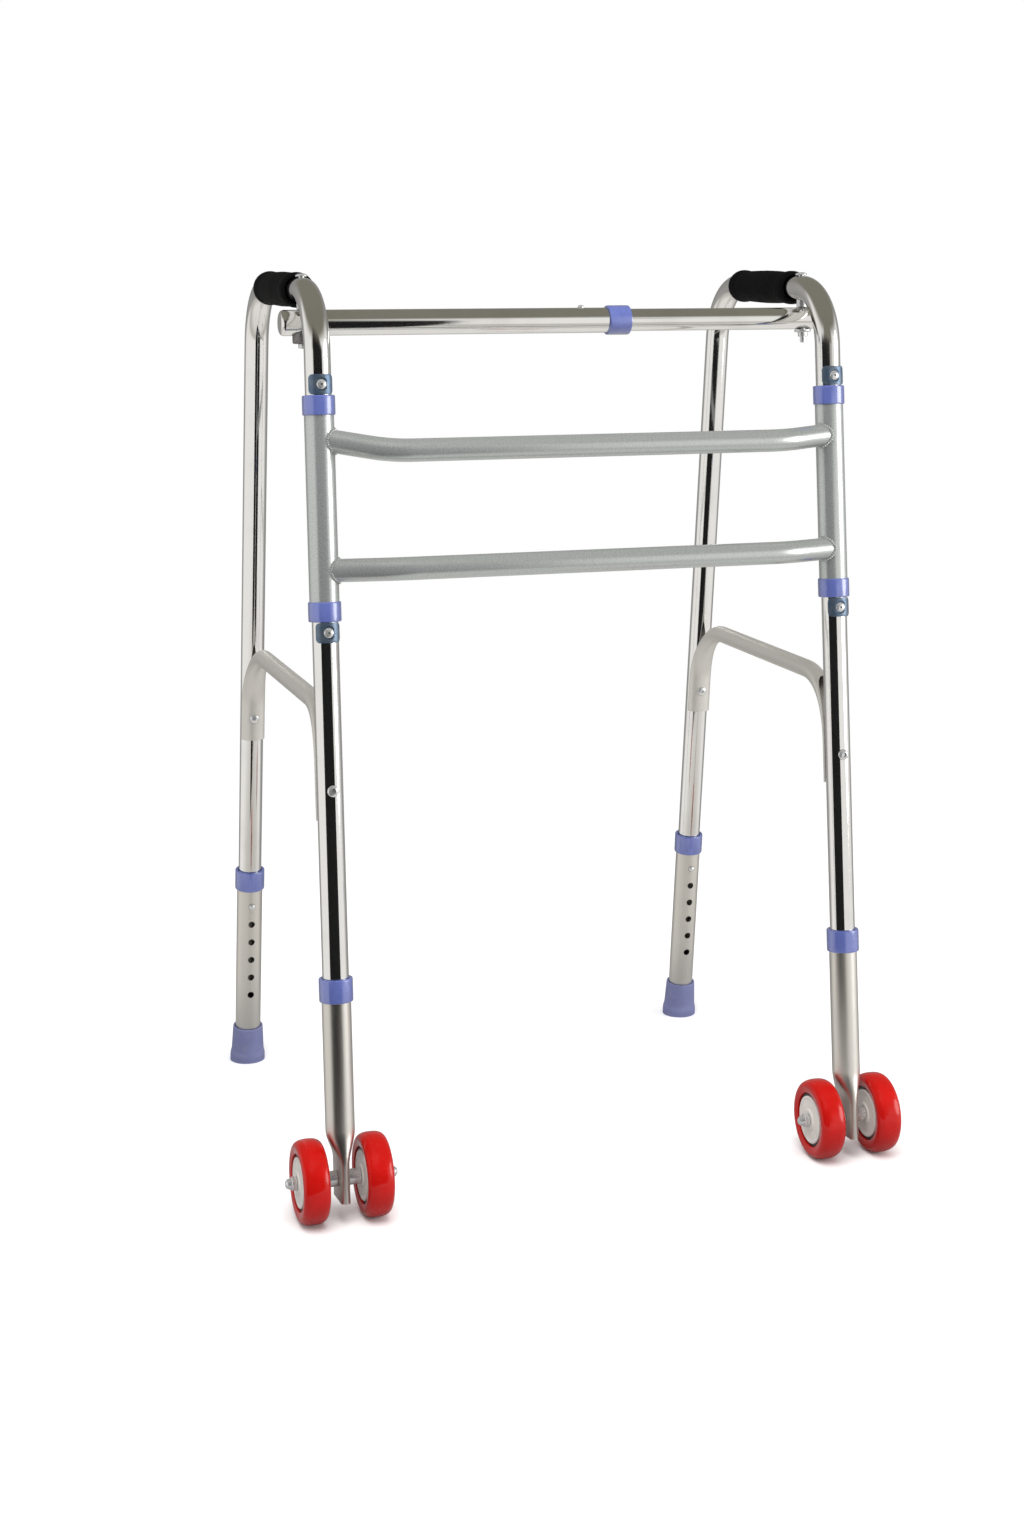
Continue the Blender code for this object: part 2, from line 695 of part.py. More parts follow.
def pivot_spacer(prefix, frame, bar_radius):
    """A short ring under the hand tube, saddled on top and flat below."""
    piece = ring(prefix + "_pivot_spacer", SPACER_RADIUS, BOLT_RADIUS + GAP, split_level(bar_radius),
                 -TUBE_RADIUS + SPACER_SADDLE, SMALL_SIDES, ASSEMBLY)
    place(piece, frame, (0.0, PIVOT_BACK, 0.0), FRONT_TURN)
    spare = 3 * SPACER_RADIUS
    saddle = rods(prefix + "_spacer_saddle", [((0.0, PIVOT_BACK - spare, 0.0), (0.0, PIVOT_BACK + spare, 0.0),
                                               round_clear(TUBE_RADIUS + BEND_ROOM, TUBE_SIDES))], TUBE_SIDES)
    place(saddle, frame)
    cut(piece, saddle)
    give(piece, "bright_screw")


# The crossbar, built along X from an empty on the left pivot's axis.

def bar_ends():
    collar = BAR_LEFT_END + BAR_OUTER_LENGTH
    return collar, LEG_SPACING + BAR_RIGHT_END


def closed_bar(name, radius, wall, length, collection):
    """A tube along Z with one rounded, closed end at z = 0 and one open end."""
    edge = BAR_END_ROUND
    profile = [(0.0, wall), (radius - edge, wall), (radius - wall, edge), (radius - wall, length),
               (radius, length), (radius, edge), (radius - 0.3 * edge, 0.3 * edge), (radius - edge, 0.0),
               (0.0, 0.0)]
    return revolved(name, profile, TUBE_SIDES, collection)


def crossbar(bar):
    collar_at, right_end = bar_ends()
    outer = closed_bar("crossbar_outer_tube", TUBE_RADIUS, TUBE_WALL, BAR_OUTER_LENGTH, ASSEMBLY)
    place(outer, bar, (BAR_LEFT_END, 0.0, 0.0), (0.0, math.pi / 2, 0.0))
    button_x = collar_at - BAR_BUTTON_BACK
    up = Vector((0.0, 0.0, 1.0))
    reach = THROUGH * TUBE_RADIUS
    holes = rods("crossbar_outer_holes", [(up * -reach, up * reach, BOLT_RADIUS + GAP),
                                          (Vector((button_x, 0.0, 0.0)), Vector((button_x, 0.0, reach)),
                                           BUTTON_RADIUS + GAP)])
    place(holes, bar)
    cut(outer, holes)
    give(outer, "chrome")

    slide = empty("crossbar_slide", bar, (0.0, 0.0, 0.0))
    inner_start = collar_at - BAR_OVERLAP
    inner = closed_bar("crossbar_inner_tube", INNER_BAR_RADIUS, INNER_BAR_WALL, right_end - inner_start,
                       ASSEMBLY)
    place(inner, slide, (right_end, 0.0, 0.0), (0.0, -math.pi / 2, 0.0))
    inner_holes = rods("crossbar_inner_holes", [(Vector((LEG_SPACING, 0.0, -reach)),
                                                 Vector((LEG_SPACING, 0.0, reach)), BOLT_RADIUS + GAP),
                                                (Vector((button_x, 0.0, 0.0)), Vector((button_x, 0.0, reach)),
                                                 BUTTON_RADIUS + GAP)])
    place(inner_holes, slide)
    cut(inner, inner_holes)
    give(inner, "chrome")

    cup = BAR_COLLAR_CUP
    bore = INNER_BAR_RADIUS + GAP
    wide = TUBE_RADIUS + GAP
    full = BAR_COLLAR_RADIUS
    length = BAR_COLLAR_LENGTH
    profile = [(full - RING_EDGE, length), (full, length - RING_EDGE), (full, RING_EDGE),
               (full - RING_EDGE, 0.0), (wide, 0.0), (wide, cup), (bore, cup), (bore, length)]
    collar = revolved("crossbar_collar", profile, RING_SIDES, ASSEMBLY, closed=True)
    place(collar, bar, (collar_at - cup + GAP, 0.0, 0.0), (0.0, math.pi / 2, 0.0))
    give(collar, "blue_plastic")

    saddle_washer("left_pivot_washer", bar, 0.0, TUBE_RADIUS)
    open_pivot_nut(slide)

    press = empty("crossbar_button_press", slide, (button_x, 0.0, 0.0))
    snap_button("crossbar_button", press, (0.0, 0.0, 0.0), (0.0, 0.0, 0.0), TUBE_RADIUS, INNER_BAR_RADIUS)


def saddle_washer(name, bar, x, bar_radius):
    """A thick washer under the crossbar, hollowed to sit against it."""
    top = -0.55 * bar_radius
    bottom = -bar_radius - WASHER_DROP
    profile = [(WASHER_RADIUS, top), (WASHER_RADIUS, bottom), (BOLT_RADIUS + GAP, bottom),
               (BOLT_RADIUS + GAP, top)]
    piece = revolved(name, profile, SMALL_SIDES, ASSEMBLY, closed=True)
    place(piece, bar, (x, 0.0, 0.0))
    spare = 2 * WASHER_RADIUS
    hollow = rods(name + "_hollow", [((x - spare, 0.0, 0.0), (x + spare, 0.0, 0.0),
                                      round_clear(bar_radius, TUBE_SIDES))], TUBE_SIDES)
    place(hollow, bar)
    cut(piece, hollow)
    give(piece, "blue_zinc")


def open_pivot_nut(slide):
    """The lower half of the right pivot: a stub in the inner bar, a flange nut and the bolt's tail."""
    top = INNER_BAR_RADIUS - GAP
    flange = -INNER_BAR_RADIUS - GAP
    bottom = flange - FLANGE_HEIGHT
    foot = bottom - NUT_HEIGHT
    profile = [(0.0, top), (BOLT_RADIUS, top), (BOLT_RADIUS, flange), (FLANGE_RADIUS, flange),
               (FLANGE_RADIUS, bottom), (NUT_RADIUS, bottom), (NUT_RADIUS, foot), (BOLT_RADIUS, foot),
               (BOLT_RADIUS, -BOLT_TAIL), (0.0, -BOLT_TAIL)]
    piece = revolved("right_pivot_nut", profile, SMALL_SIDES, ASSEMBLY)
    place(piece, slide, (LEG_SPACING, 0.0, 0.0))
    give(piece, "bright_screw")


def snap_button(name, press, location, turn, outer_radius, inner_radius):
    """A round button that stands out of the outer tube. It is pressed in along its own Z."""
    top = outer_radius + BUTTON_REACH
    bottom = inner_radius - BUTTON_RADIUS
    profile = [(0.0, top), (0.7 * BUTTON_RADIUS, top - 0.2 * BUTTON_REACH),
               (BUTTON_RADIUS, top - 0.85 * BUTTON_REACH), (BUTTON_RADIUS, bottom), (0.0, bottom)]
    piece = revolved(name, profile, SCREW_SIDES, ASSEMBLY)
    place(piece, press, location, turn)
    give(piece, "bright_screw")


# Lower legs.

def collar(name, lower, top, turn):
    """The blue ring on the top of a lower leg, with a lip that runs on the upper tube."""
    lip = TUBE_RADIUS + GAP
    bore = LOWER_RADIUS + GAP
    low = -COLLAR_LENGTH
    profile = [(COLLAR_RADIUS - RING_EDGE, 0.0), (COLLAR_RADIUS, -RING_EDGE), (COLLAR_RADIUS, low),
               (bore, low), (bore, -COLLAR_LIP), (lip, -COLLAR_LIP), (lip, 0.0)]
    piece = revolved(name, profile, RING_SIDES, ASSEMBLY, closed=True)
    place(piece, lower, top, turn)
    give(piece, "blue_plastic")


def height_holes(spot, up, facing):
    """The row of holes that the snap button can stand in."""
    lines = []
    reach = THROUGH * LOWER_RADIUS
    for i in range(HOLE_COUNT):
        middle = spot - up * (HOLE_PITCH * i)
        lines.append((middle, middle + facing * reach, BUTTON_RADIUS + GAP))
    return lines


def rear_lower_leg(prefix, lower):
    """The lower tube of a rear leg, its collar and its rubber foot."""
    top = (REAR_COLLAR_TOP - HANDLE_HEIGHT) / math.cos(REAR_LEAN) - COLLAR_LIP - GAP
    bottom = (FOOT_SOLE - HANDLE_HEIGHT) / math.cos(REAR_LEAN) + GAP
    piece = ring(prefix + "_rear_lower_leg", LOWER_RADIUS, LOWER_RADIUS - LOWER_WALL, bottom, top,
                 TUBE_SIDES, ASSEMBLY)
    place(piece, lower, (0.0, HANDLE_DEPTH, 0.0), REAR_TURN)
    holes = rods(prefix + "_rear_holes", height_holes(rear_point(REAR_BUTTON_HEIGHT), REAR_UP, rear_front()))
    place(holes, lower)
    cut(piece, holes)
    give(piece, "satin_tube")
    collar(prefix + "_rear_collar", lower, rear_point(REAR_COLLAR_TOP), REAR_TURN)
    foot(prefix, lower)


def foot(prefix, lower):
    """The rubber foot follows the leg, and its sole is cut level with the floor."""
    sole = FOOT_SOLE / math.cos(REAR_LEAN)
    bore = LOWER_RADIUS + GAP
    below = 2 * FOOT_RADIUS * math.tan(REAR_LEAN)
    profile = [(0.0, sole), (bore, sole), (bore, FOOT_TOP), (FOOT_TOP_RADIUS, FOOT_TOP),
               (FOOT_TOP_RADIUS + FOOT_FLARE, 0.40 * FOOT_TOP), (FOOT_RADIUS, 0.20 * FOOT_TOP),
               (FOOT_RADIUS, -below), (0.0, -below)]
    piece = revolved(prefix + "_rear_foot", profile, RING_SIDES, ASSEMBLY)
    place(piece, lower, rear_point(0.0), REAR_TURN)
    work = bmesh.new()
    size = 4 * FOOT_RADIUS
    middle = rear_point(0.0) - Vector((0.0, 0.0, size / 2))
    bmesh.ops.create_cube(work, size=size, matrix=Matrix.Translation(middle))
    mesh = bpy.data.meshes.new(prefix + "_floor")
    work.to_mesh(mesh)
    work.free()
    floor = link(prefix + "_floor", mesh, CUTTERS)
    place(floor, lower)
    cut(piece, floor)
    give(piece, "pale_rubber")


def flat_sections(shrink, top, bottom):
    """Rings of the front lower tube, round above and pressed flat round the axle below."""
    half = LOWER_RADIUS - shrink
    thin = FLAT_THICKNESS / 2 - shrink
    girth = math.pi * half / 2
    sections = []
    stops = [(top, half), (FLAT_START, half), (FLAT_FULL, thin), (bottom, thin)]
    steps = TUBE_SIDES // 2
    for height, thick in stops:
        straight = (girth - math.pi * thick / 2)
        along = (height - HANDLE_HEIGHT) / math.cos(FRONT_LEAN)
        section = []
        for side in (1, -1):
            for k in range(steps):
                angle = math.pi * (k + 0.5) / steps
                across = side * (straight + thick * math.sin(angle))
                section.append((side * thick * math.cos(angle), across, along))
        sections.append(section)
    return sections


def front_lower_leg(prefix, lower):
    """The lower tube of a front leg, pressed flat at its end, with its collar and axle."""
    top = FRONT_COLLAR_TOP - (COLLAR_LIP + GAP) * math.cos(FRONT_LEAN)
    piece = lofted(prefix + "_front_lower_leg", flat_sections(0.0, top, FLAT_END), ASSEMBLY)
    place(piece, lower, turn=FRONT_TURN)
    inside = flat_sections(LOWER_WALL, top + LOWER_RADIUS, FLAT_END - LOWER_RADIUS)
    hollow = lofted(prefix + "_front_hollow", inside, CUTTERS)
    place(hollow, lower, turn=FRONT_TURN)
    cut(piece, hollow)
    lines = height_holes(front_point(FRONT_BUTTON_HEIGHT), FRONT_UP, front_back())
    axle = front_point(WHEEL_RADIUS)
    across = Vector((FLAT_THICKNESS, 0.0, 0.0))
    lines.append((axle - across, axle + across, AXLE_RADIUS + 2 * GAP))
    holes = rods(prefix + "_front_holes", lines)
    place(holes, lower)
    cut(piece, holes)
    give(piece, "satin_tube")
    collar(prefix + "_front_collar", lower, front_point(FRONT_COLLAR_TOP), FRONT_TURN)
    wheel_axle(prefix, lower)


def wheel_axle(prefix, lower):
    """The axle with a spacer boss on each side of the leg and a cap nut on each end."""
    boss = AXLE_BOSS_RADIUS
    near = FLAT_THICKNESS / 2 + GAP
    far = WHEEL_OFFSET - WHEEL_WIDTH / 2 + HUB_INSET - GAP
    seat = WHEEL_OFFSET + WHEEL_WIDTH / 2 - HUB_INSET + GAP
    nut = AXLE_NUT_RADIUS
    dome = AXLE_END - seat
    half = [(0.0, AXLE_END), (0.62 * nut, AXLE_END - 0.10 * dome), (nut, AXLE_END - 0.44 * dome), (nut, seat),
            (AXLE_RADIUS, seat), (AXLE_RADIUS, far), (boss, far), (boss, near), (AXLE_RADIUS, near)]
    other = [(radius, -height) for radius, height in reversed(half)]
    piece = revolved(prefix + "_axle", half + other, SCREW_SIDES, ASSEMBLY)
    place(piece, lower, front_point(WHEEL_RADIUS), (0.0, math.pi / 2, 0.0))
    give(piece, "bright_screw")


def wheel(prefix, which, lower, offset):
    """One wheel: a tyre round a hub, both turning about the axle."""
    middle = front_point(WHEEL_RADIUS) + Vector((offset, 0.0, 0.0))
    spin = empty(prefix + "_" + which + "_wheel_axis", lower, middle)
    turn = (0.0, math.pi / 2, 0.0)
    half = WHEEL_WIDTH / 2
    tread = TREAD_WIDTH / 2
    flank = (half + tread) / 2
    side = [(RIM_RADIUS, half - RIM_INSET), (SHOULDER_RADIUS, half), (WHEEL_RADIUS - TREAD_DROP, flank),
            (WHEEL_RADIUS, tread)]
    tyre_profile = side + [(radius, -across) for radius, across in reversed(side)]
    tyre = revolved(prefix + "_" + which + "_tyre", tyre_profile, WHEEL_SIDES, ASSEMBLY, closed=True)
    place(tyre, spin, (0.0, 0.0, 0.0), turn)
    give(tyre, "red_tyre")
    rim = RIM_RADIUS - GAP
    groove = half - HUB_GROOVE
    face = half - HUB_FACE_INSET
    hub_profile = [(HUB_BORE, half - HUB_INSET), (HUB_RADIUS, face), (rim, groove),
                   (rim, -groove), (HUB_RADIUS, -face), (HUB_BORE, HUB_INSET - half)]
    hub = revolved(prefix + "_" + which + "_hub", hub_profile, WHEEL_SIDES, ASSEMBLY, closed=True)
    place(hub, spin, (0.0, 0.0, 0.0), turn)
    give(hub, "hub_plastic")


def side_frame(prefix, side):
    """Everything that swings on one front leg, and the lower legs that slide on it."""
    right = side > 0
    fold = empty(prefix + "_fold", None, (side * HALF_SPACING, FRONT_Y, HANDLE_HEIGHT))
    side_tube(prefix, fold)
    grip(prefix, fold)
    brace(prefix, fold)
    seat = TUBE_RADIUS + GAP
    screw(prefix + "_brace_front_screw", fold, front_point(BRACE_SCREW_HEIGHT), -front_back(), seat,
          2 * seat + SCREW_TIP)
    saddle_face = SADDLE_OFFSET + SADDLE_DEPTH * math.cos(math.pi / BRACE_SIDES) + GAP
    screw(prefix + "_brace_rear_screw", fold, rear_point(BRACE_SCREW_HEIGHT), rear_front(), saddle_face,
          SCREW_LENGTH)
    plate_face = TUBE_RADIUS + 2 * GAP + PLATE_THICKNESS - PLATE_SEAT_DEPTH
    for level, height in (("upper", upper_plate_middle()), ("lower", lower_plate_middle())):
        stop_plate(prefix + "_" + level + "_stop_plate", fold, height)
        screw(prefix + "_" + level + "_stop_screw", fold, front_point(height), -front_back(), plate_face,
              SCREW_LENGTH)
    pivot_bolt(prefix, fold, right)
    pivot_spacer(prefix, fold, INNER_BAR_RADIUS if right else TUBE_RADIUS)

    front_slide = empty(prefix + "_front_slide", fold, (0.0, 0.0, 0.0))
    front_lower_leg(prefix, front_slide)
    wheel(prefix, "outer", front_slide, side * WHEEL_OFFSET)
    wheel(prefix, "inner", front_slide, -side * WHEEL_OFFSET)
    rear_slide = empty(prefix + "_rear_slide", fold, (0.0, 0.0, 0.0))
    rear_lower_leg(prefix, rear_slide)

    press = empty(prefix + "_front_press", fold, front_point(FRONT_BUTTON_HEIGHT))
    snap_button(prefix + "_front_button", press, (0.0, 0.0, 0.0), (-math.pi / 2 - FRONT_LEAN, 0.0, 0.0),
                LOWER_RADIUS, TUBE_RADIUS)
    press = empty(prefix + "_rear_press", fold, rear_point(REAR_BUTTON_HEIGHT))
    snap_button(prefix + "_rear_button", press, (0.0, 0.0, 0.0), (math.pi / 2 + REAR_LEAN, 0.0, 0.0),
                LOWER_RADIUS, TUBE_RADIUS)
    return fold


def front_frame():
    """The welded front frame: two sleeves, two bowed rails, and a bushing on each sleeve end."""
    left = empty("front_frame_left", None, (-HALF_SPACING, FRONT_Y, HANDLE_HEIGHT))
    right = empty("front_frame_right", None, (HALF_SPACING, FRONT_Y, HANDLE_HEIGHT))
    for prefix, frame in (("left", left), ("right", right)):
        sleeve(prefix, frame)
        bushing(prefix + "_upper_bushing", frame, UPPER_BUSHING_HEIGHT, False)
        bushing(prefix + "_lower_bushing", frame, LOWER_BUSHING_HEIGHT, True)
    hand = HANDLE_HEIGHT
    rail("upper_cross_tube", hand - UPPER_RAIL_LEFT_DROP, hand - UPPER_RAIL_MIDDLE_DROP,
         hand - UPPER_RAIL_RIGHT_DROP, left)
    rail("lower_cross_tube", hand - LOWER_RAIL_LEFT_DROP, hand - LOWER_RAIL_MIDDLE_DROP,
         hand - LOWER_RAIL_RIGHT_DROP, left)


clear_scene()
ASSEMBLY = make_collection("wheeled_walker")
CUTTERS = make_collection("cutters")

front_frame()
left_fold = side_frame("left", -1)
side_frame("right", 1)
pivot = Vector((0.0, PIVOT_BACK, 0.0)) - FRONT_UP * bar_level()
crossbar(empty("crossbar_pivot", left_fold, pivot, FRONT_TURN))
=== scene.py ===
# %% [markdown]
# # A folding walking frame, dressed for its portrait
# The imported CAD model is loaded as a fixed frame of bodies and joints. Each cell then makes one
# kind of piece with finer curves and a real finish, puts it where the CAD says, and lets it ride
# on the CAD body that it belongs to. All sizes are metres, +Z is up and -Y is the front.

# %% Load the frame
import json
import math

import bmesh
import bpy
from mathutils import Matrix, Vector

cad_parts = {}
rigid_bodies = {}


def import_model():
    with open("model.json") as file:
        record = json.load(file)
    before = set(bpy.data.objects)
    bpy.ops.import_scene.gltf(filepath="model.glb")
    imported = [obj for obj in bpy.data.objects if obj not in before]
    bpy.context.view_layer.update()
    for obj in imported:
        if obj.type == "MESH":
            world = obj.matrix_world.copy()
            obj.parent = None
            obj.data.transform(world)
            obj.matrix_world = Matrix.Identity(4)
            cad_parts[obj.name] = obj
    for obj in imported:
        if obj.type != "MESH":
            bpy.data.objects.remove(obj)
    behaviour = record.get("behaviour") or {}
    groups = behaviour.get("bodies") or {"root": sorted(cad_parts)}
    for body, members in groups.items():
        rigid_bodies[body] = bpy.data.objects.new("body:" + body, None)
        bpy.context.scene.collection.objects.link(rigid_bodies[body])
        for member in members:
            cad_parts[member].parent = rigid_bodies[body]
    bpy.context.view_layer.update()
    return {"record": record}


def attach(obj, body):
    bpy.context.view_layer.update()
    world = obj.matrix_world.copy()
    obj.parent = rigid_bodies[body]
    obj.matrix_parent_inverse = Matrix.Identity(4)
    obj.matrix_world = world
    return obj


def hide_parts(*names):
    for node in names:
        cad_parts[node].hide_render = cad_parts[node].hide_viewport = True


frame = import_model()
behaviour = frame["record"]["behaviour"]
BODY_OF = {node: body for body, nodes in behaviour["bodies"].items() for node in nodes}
JOINTS = {joint["name"]: joint for joint in behaviour["joints"]}

# %% [markdown]
# The frame's own joints say where its lines run: the front legs stand on the fold axes, the rear
# legs slide along theirs, and the crossbar turns on its pivot bolt. Only the sizes that no joint
# holds are written again here.

# %% Lines and sizes of the frame
SIDES = ("left", "right")
ACROSS = Vector((1.0, 0.0, 0.0))
FRONT_UP = Vector(JOINTS["left_front_leg_slide"]["axis"]).normalized()
REAR_UP = Vector(JOINTS["left_rear_leg_slide"]["axis"]).normalized()
FRONT_BACK = FRONT_UP.cross(ACROSS)
REAR_FRONT = ACROSS.cross(REAR_UP)
FRONT_LEAN = math.atan2(FRONT_UP.y, FRONT_UP.z)
REAR_LEAN = math.atan2(-REAR_UP.y, REAR_UP.z)
CORNER = {side: Vector(JOINTS[side + "_fold"]["pos_m"]) for side in SIDES}
PIVOT = Vector(JOINTS["crossbar_swing"]["pos_m"])

HANDLE_DEPTH = 0.2774
FRONT_BEND = 0.0625
REAR_BEND = 0.0668
GAP = 0.0003
TUBE_RADIUS = 0.0127
LOWER_RADIUS = 0.0141
SLEEVE_RADIUS = 0.0143
RAIL_RADIUS = 0.0111
INNER_BAR_RADIUS = 0.0113
FINE_SIDES = 64


def on_front(side, height):
    """The point of the front leg's line at a height above the floor."""
    return CORNER[side] + FRONT_UP * ((height - CORNER[side].z) / FRONT_UP.z)


def on_rear(side, height):
    """The point of the rear leg's line at a height above the floor."""
    top = CORNER[side] + Vector((0.0, HANDLE_DEPTH, 0.0))
    return top + REAR_UP * ((height - top.z) / REAR_UP.z)


print("leans:", round(math.degrees(FRONT_LEAN), 2), round(math.degrees(REAR_LEAN), 2), "degrees")

# %% [markdown]
# Node trees are written in Python, so they need a short way of adding nodes. One method takes a
# node's type, its settings and what goes into its sockets. A `Signal` wraps a socket, so that
# sums of masks read as sums and each operator adds its own Math node.


# %% One way to add nodes
class Signal:
    """A socket that takes part in sums."""

    def __init__(self, nodes, socket):
        self.nodes = nodes
        self.socket = socket

    def sum(self, operation, other):
        return self.nodes.node("ShaderNodeMath", {"operation": operation}, {0: self, 1: other})

    def __add__(self, other):
        return self.sum("ADD", other)

    def __mul__(self, other):
        return self.sum("MULTIPLY", other)

    def beside(self, output):
        """Another output of the same node."""
        return Signal(self.nodes, self.socket.node.outputs[output])


class Nodes:
    """A node tree with one way to add a node."""

    def __init__(self, tree):
        self.tree = tree

    def feed(self, socket, value):
        if isinstance(value, Signal):
            self.tree.links.new(value.socket, socket)
        else:
            socket.default_value = value

    def node(self, kind, settings=None, sockets=None, output=0):
        new = self.tree.nodes.new(kind)
        for name, value in (settings or {}).items():
            setattr(new, name, value)
        for name, value in (sockets or {}).items():
            self.feed(new.inputs[name], value)
        return Signal(self, new.outputs[output])

    def mask(self, signal, low, high):
        """0 where the signal is under low, 1 over high. It falls where low is the larger."""
        return self.node("ShaderNodeMapRange", {"interpolation_type": "SMOOTHSTEP"},
                         {"Value": signal, "From Min": low, "From Max": high})

    def mix(self, factor, first, second):
        return self.node("ShaderNodeMix", {"data_type": "RGBA"},
                         {0: factor, 6: first, 7: second}, output=2)

    def fade(self, factor, first, second):
        """One shader that gives way to another."""
        return self.node("ShaderNodeMixShader", {}, {0: factor, 1: first, 2: second})


print("node helpers ready")

# %% [markdown]
# A finish starts from a Principled shader. What is the same all over is set on the shader's own
# sockets. What changes, such as wear, dust and brushing, comes from noise on Object coordinates,
# which stay still on a piece because every piece has its place in its mesh.


# %% Finishes
class Finish(Nodes):
    """A material with one Principled shader."""

    def __init__(self, name, colour, roughness, metallic=0.0, coat=0.0, gloss=0.5):
        self.material = bpy.data.materials.new(name)
        self.material.use_nodes = True
        super().__init__(self.material.node_tree)
        self.shader = self.tree.nodes["Principled BSDF"]
        self.body = Signal(self, self.shader.outputs[0])
        self.set("Base Color", (*colour, 1.0))
        self.set("Roughness", roughness)
        self.set("Metallic", metallic)
        self.set("Coat Weight", coat)
        self.set("Coat Roughness", 0.08)
        self.set("Specular IOR Level", gloss)

    def set(self, socket, value):
        self.feed(self.shader.inputs[socket], value)

    def show(self, surface):
        """Puts a shader of another kind on the material."""
        self.feed(self.tree.nodes["Material Output"].inputs["Surface"], surface)

    def where(self, turn=(0.0, 0.0, 0.0), size=(1.0, 1.0, 1.0)):
        """Object coordinates, turned to a leg's line and stretched."""
        place = self.node("ShaderNodeTexCoord", output="Object")
        return self.node("ShaderNodeMapping", {"vector_type": "TEXTURE"},
                         {"Vector": place, "Rotation": turn, "Scale": size})

    def noise(self, scale, detail=3.0, turn=(0.0, 0.0, 0.0), size=(1.0, 1.0, 1.0)):
        return self.node("ShaderNodeTexNoise", {"noise_dimensions": "3D"},
                         {"Vector": self.where(turn, size), "Scale": scale, "Detail": detail})

    def bump(self, height, distance, strength):
        self.set("Normal", self.node("ShaderNodeBump", {},
                                     {"Height": height, "Distance": distance, "Strength": strength}))


def shade(colour, factor):
    return (*[channel * factor for channel in colour], 1.0)


# %% [markdown]
# Chrome is a mirror that has been handled: its roughness rises in smudges and very fine
# scratches. The lower legs and the braces are only satin, drawn lengthwise, so their noise is
# stretched along each leg's own line.

# %% Bare metals
def chrome(name):
    steel = (0.78, 0.775, 0.76)
    finish = Finish(name, steel, 0.10, 1.0)
    smudge = finish.mask(finish.noise(22.0, 4.0), 0.45, 0.75)
    scratch = finish.mask(finish.noise(900.0, 2.0, size=(1.0, 1.0, 14.0)), 0.62, 0.75)
    finish.set("Roughness", smudge * 0.05 + scratch * 0.02 + 0.08)
    finish.set("Base Color", finish.mix(smudge, (*steel, 1.0), shade(steel, 0.93)))
    finish.bump(finish.noise(45.0, 2.0), 0.00006, 0.3)
    return finish.material


def satin(name, turn, metallic=1.0):
    nickel = (0.66, 0.64, 0.60)
    finish = Finish(name, nickel, 0.28, metallic)
    streak = finish.noise(700.0, 3.0, turn, (1.0, 1.0, 40.0))
    patch = finish.mask(finish.noise(28.0, 4.0, turn, (1.0, 1.0, 3.0)), 0.42, 0.72)
    finish.set("Roughness", streak * 0.12 + patch * 0.06 + 0.30)
    finish.set("Base Color", finish.mix(streak, shade(nickel, 0.94), shade(nickel, 1.06)))
    finish.bump(streak, 0.00005, 0.4)
    return finish.material


CHROME = chrome("polished_chrome")
SATIN_FRONT = satin("satin_front_leg", (-FRONT_LEAN, 0.0, 0.0))
SATIN_REAR = satin("satin_rear_leg", (REAR_LEAN, 0.0, 0.0))
SATIN_BRACE = satin("satin_brace", (0.0, 0.0, 0.0), 0.50)
print("metals:", CHROME.name, SATIN_FRONT.name, SATIN_REAR.name, SATIN_BRACE.name)


# %% [markdown]
# The front frame is sprayed with a silver-gray enamel: a fine flake under a clear skin, with the
# slight orange peel of spray paint and a few rubbed places. Small hardware is zinc plated, bright
# on the screws, blue on the plates and dull gray on the washer under the crossbar.

# %% Paint and plating
def enamel():
    gray = (0.485, 0.51, 0.50)
    finish = Finish("gray_enamel", gray, 0.28, 0.58, 0.40)
    flake = finish.noise(2600.0, 1.0)
    rubbed = finish.mask(finish.noise(60.0, 5.0), 0.66, 0.80)
    finish.set("Base Color", finish.mix(flake, shade(gray, 0.82), shade(gray, 1.18)))
    finish.set("Roughness", flake * 0.14 + rubbed * -0.08 + 0.21)
    finish.bump(finish.noise(420.0, 2.0), 0.00010, 0.35)
    return finish.material


def zinc(name, colour, second, roughness, metallic=0.9):
    """Plated steel whose passive film shifts between two tints."""
    finish = Finish(name, colour, roughness, metallic)
    film = finish.mask(finish.noise(160.0, 3.0), 0.35, 0.65)
    grain = finish.noise(1500.0, 2.0)
    finish.set("Base Color", finish.mix(film, (*colour, 1.0), (*second, 1.0)))
    finish.set("Roughness", grain * 0.16 + roughness)
    finish.bump(grain, 0.00005, 0.4)
    return finish.material


ENAMEL = enamel()
BLUE_ZINC = zinc("blue_zinc", (0.090, 0.140, 0.215), (0.135, 0.175, 0.225), 0.26, 0.6)
BRIGHT_ZINC = zinc("bright_zinc", (0.74, 0.74, 0.73), (0.66, 0.68, 0.70), 0.18, 0.7)
DULL_ZINC = zinc("dull_zinc", (0.150, 0.140, 0.145), (0.20, 0.19, 0.19), 0.30, 0.6)
print("plating:", ENAMEL.name, BLUE_ZINC.name, BRIGHT_ZINC.name, DULL_ZINC.name)


# %% [markdown]
# The plastics are dyed through, so wear shows as gloss and as dust and not as another colour.
# Rubber and foam are duller, with a grain of their own. The tyres are cast in glossy red.

# %% Plastic, rubber and foam
DUST = (0.42, 0.40, 0.37, 1.0)


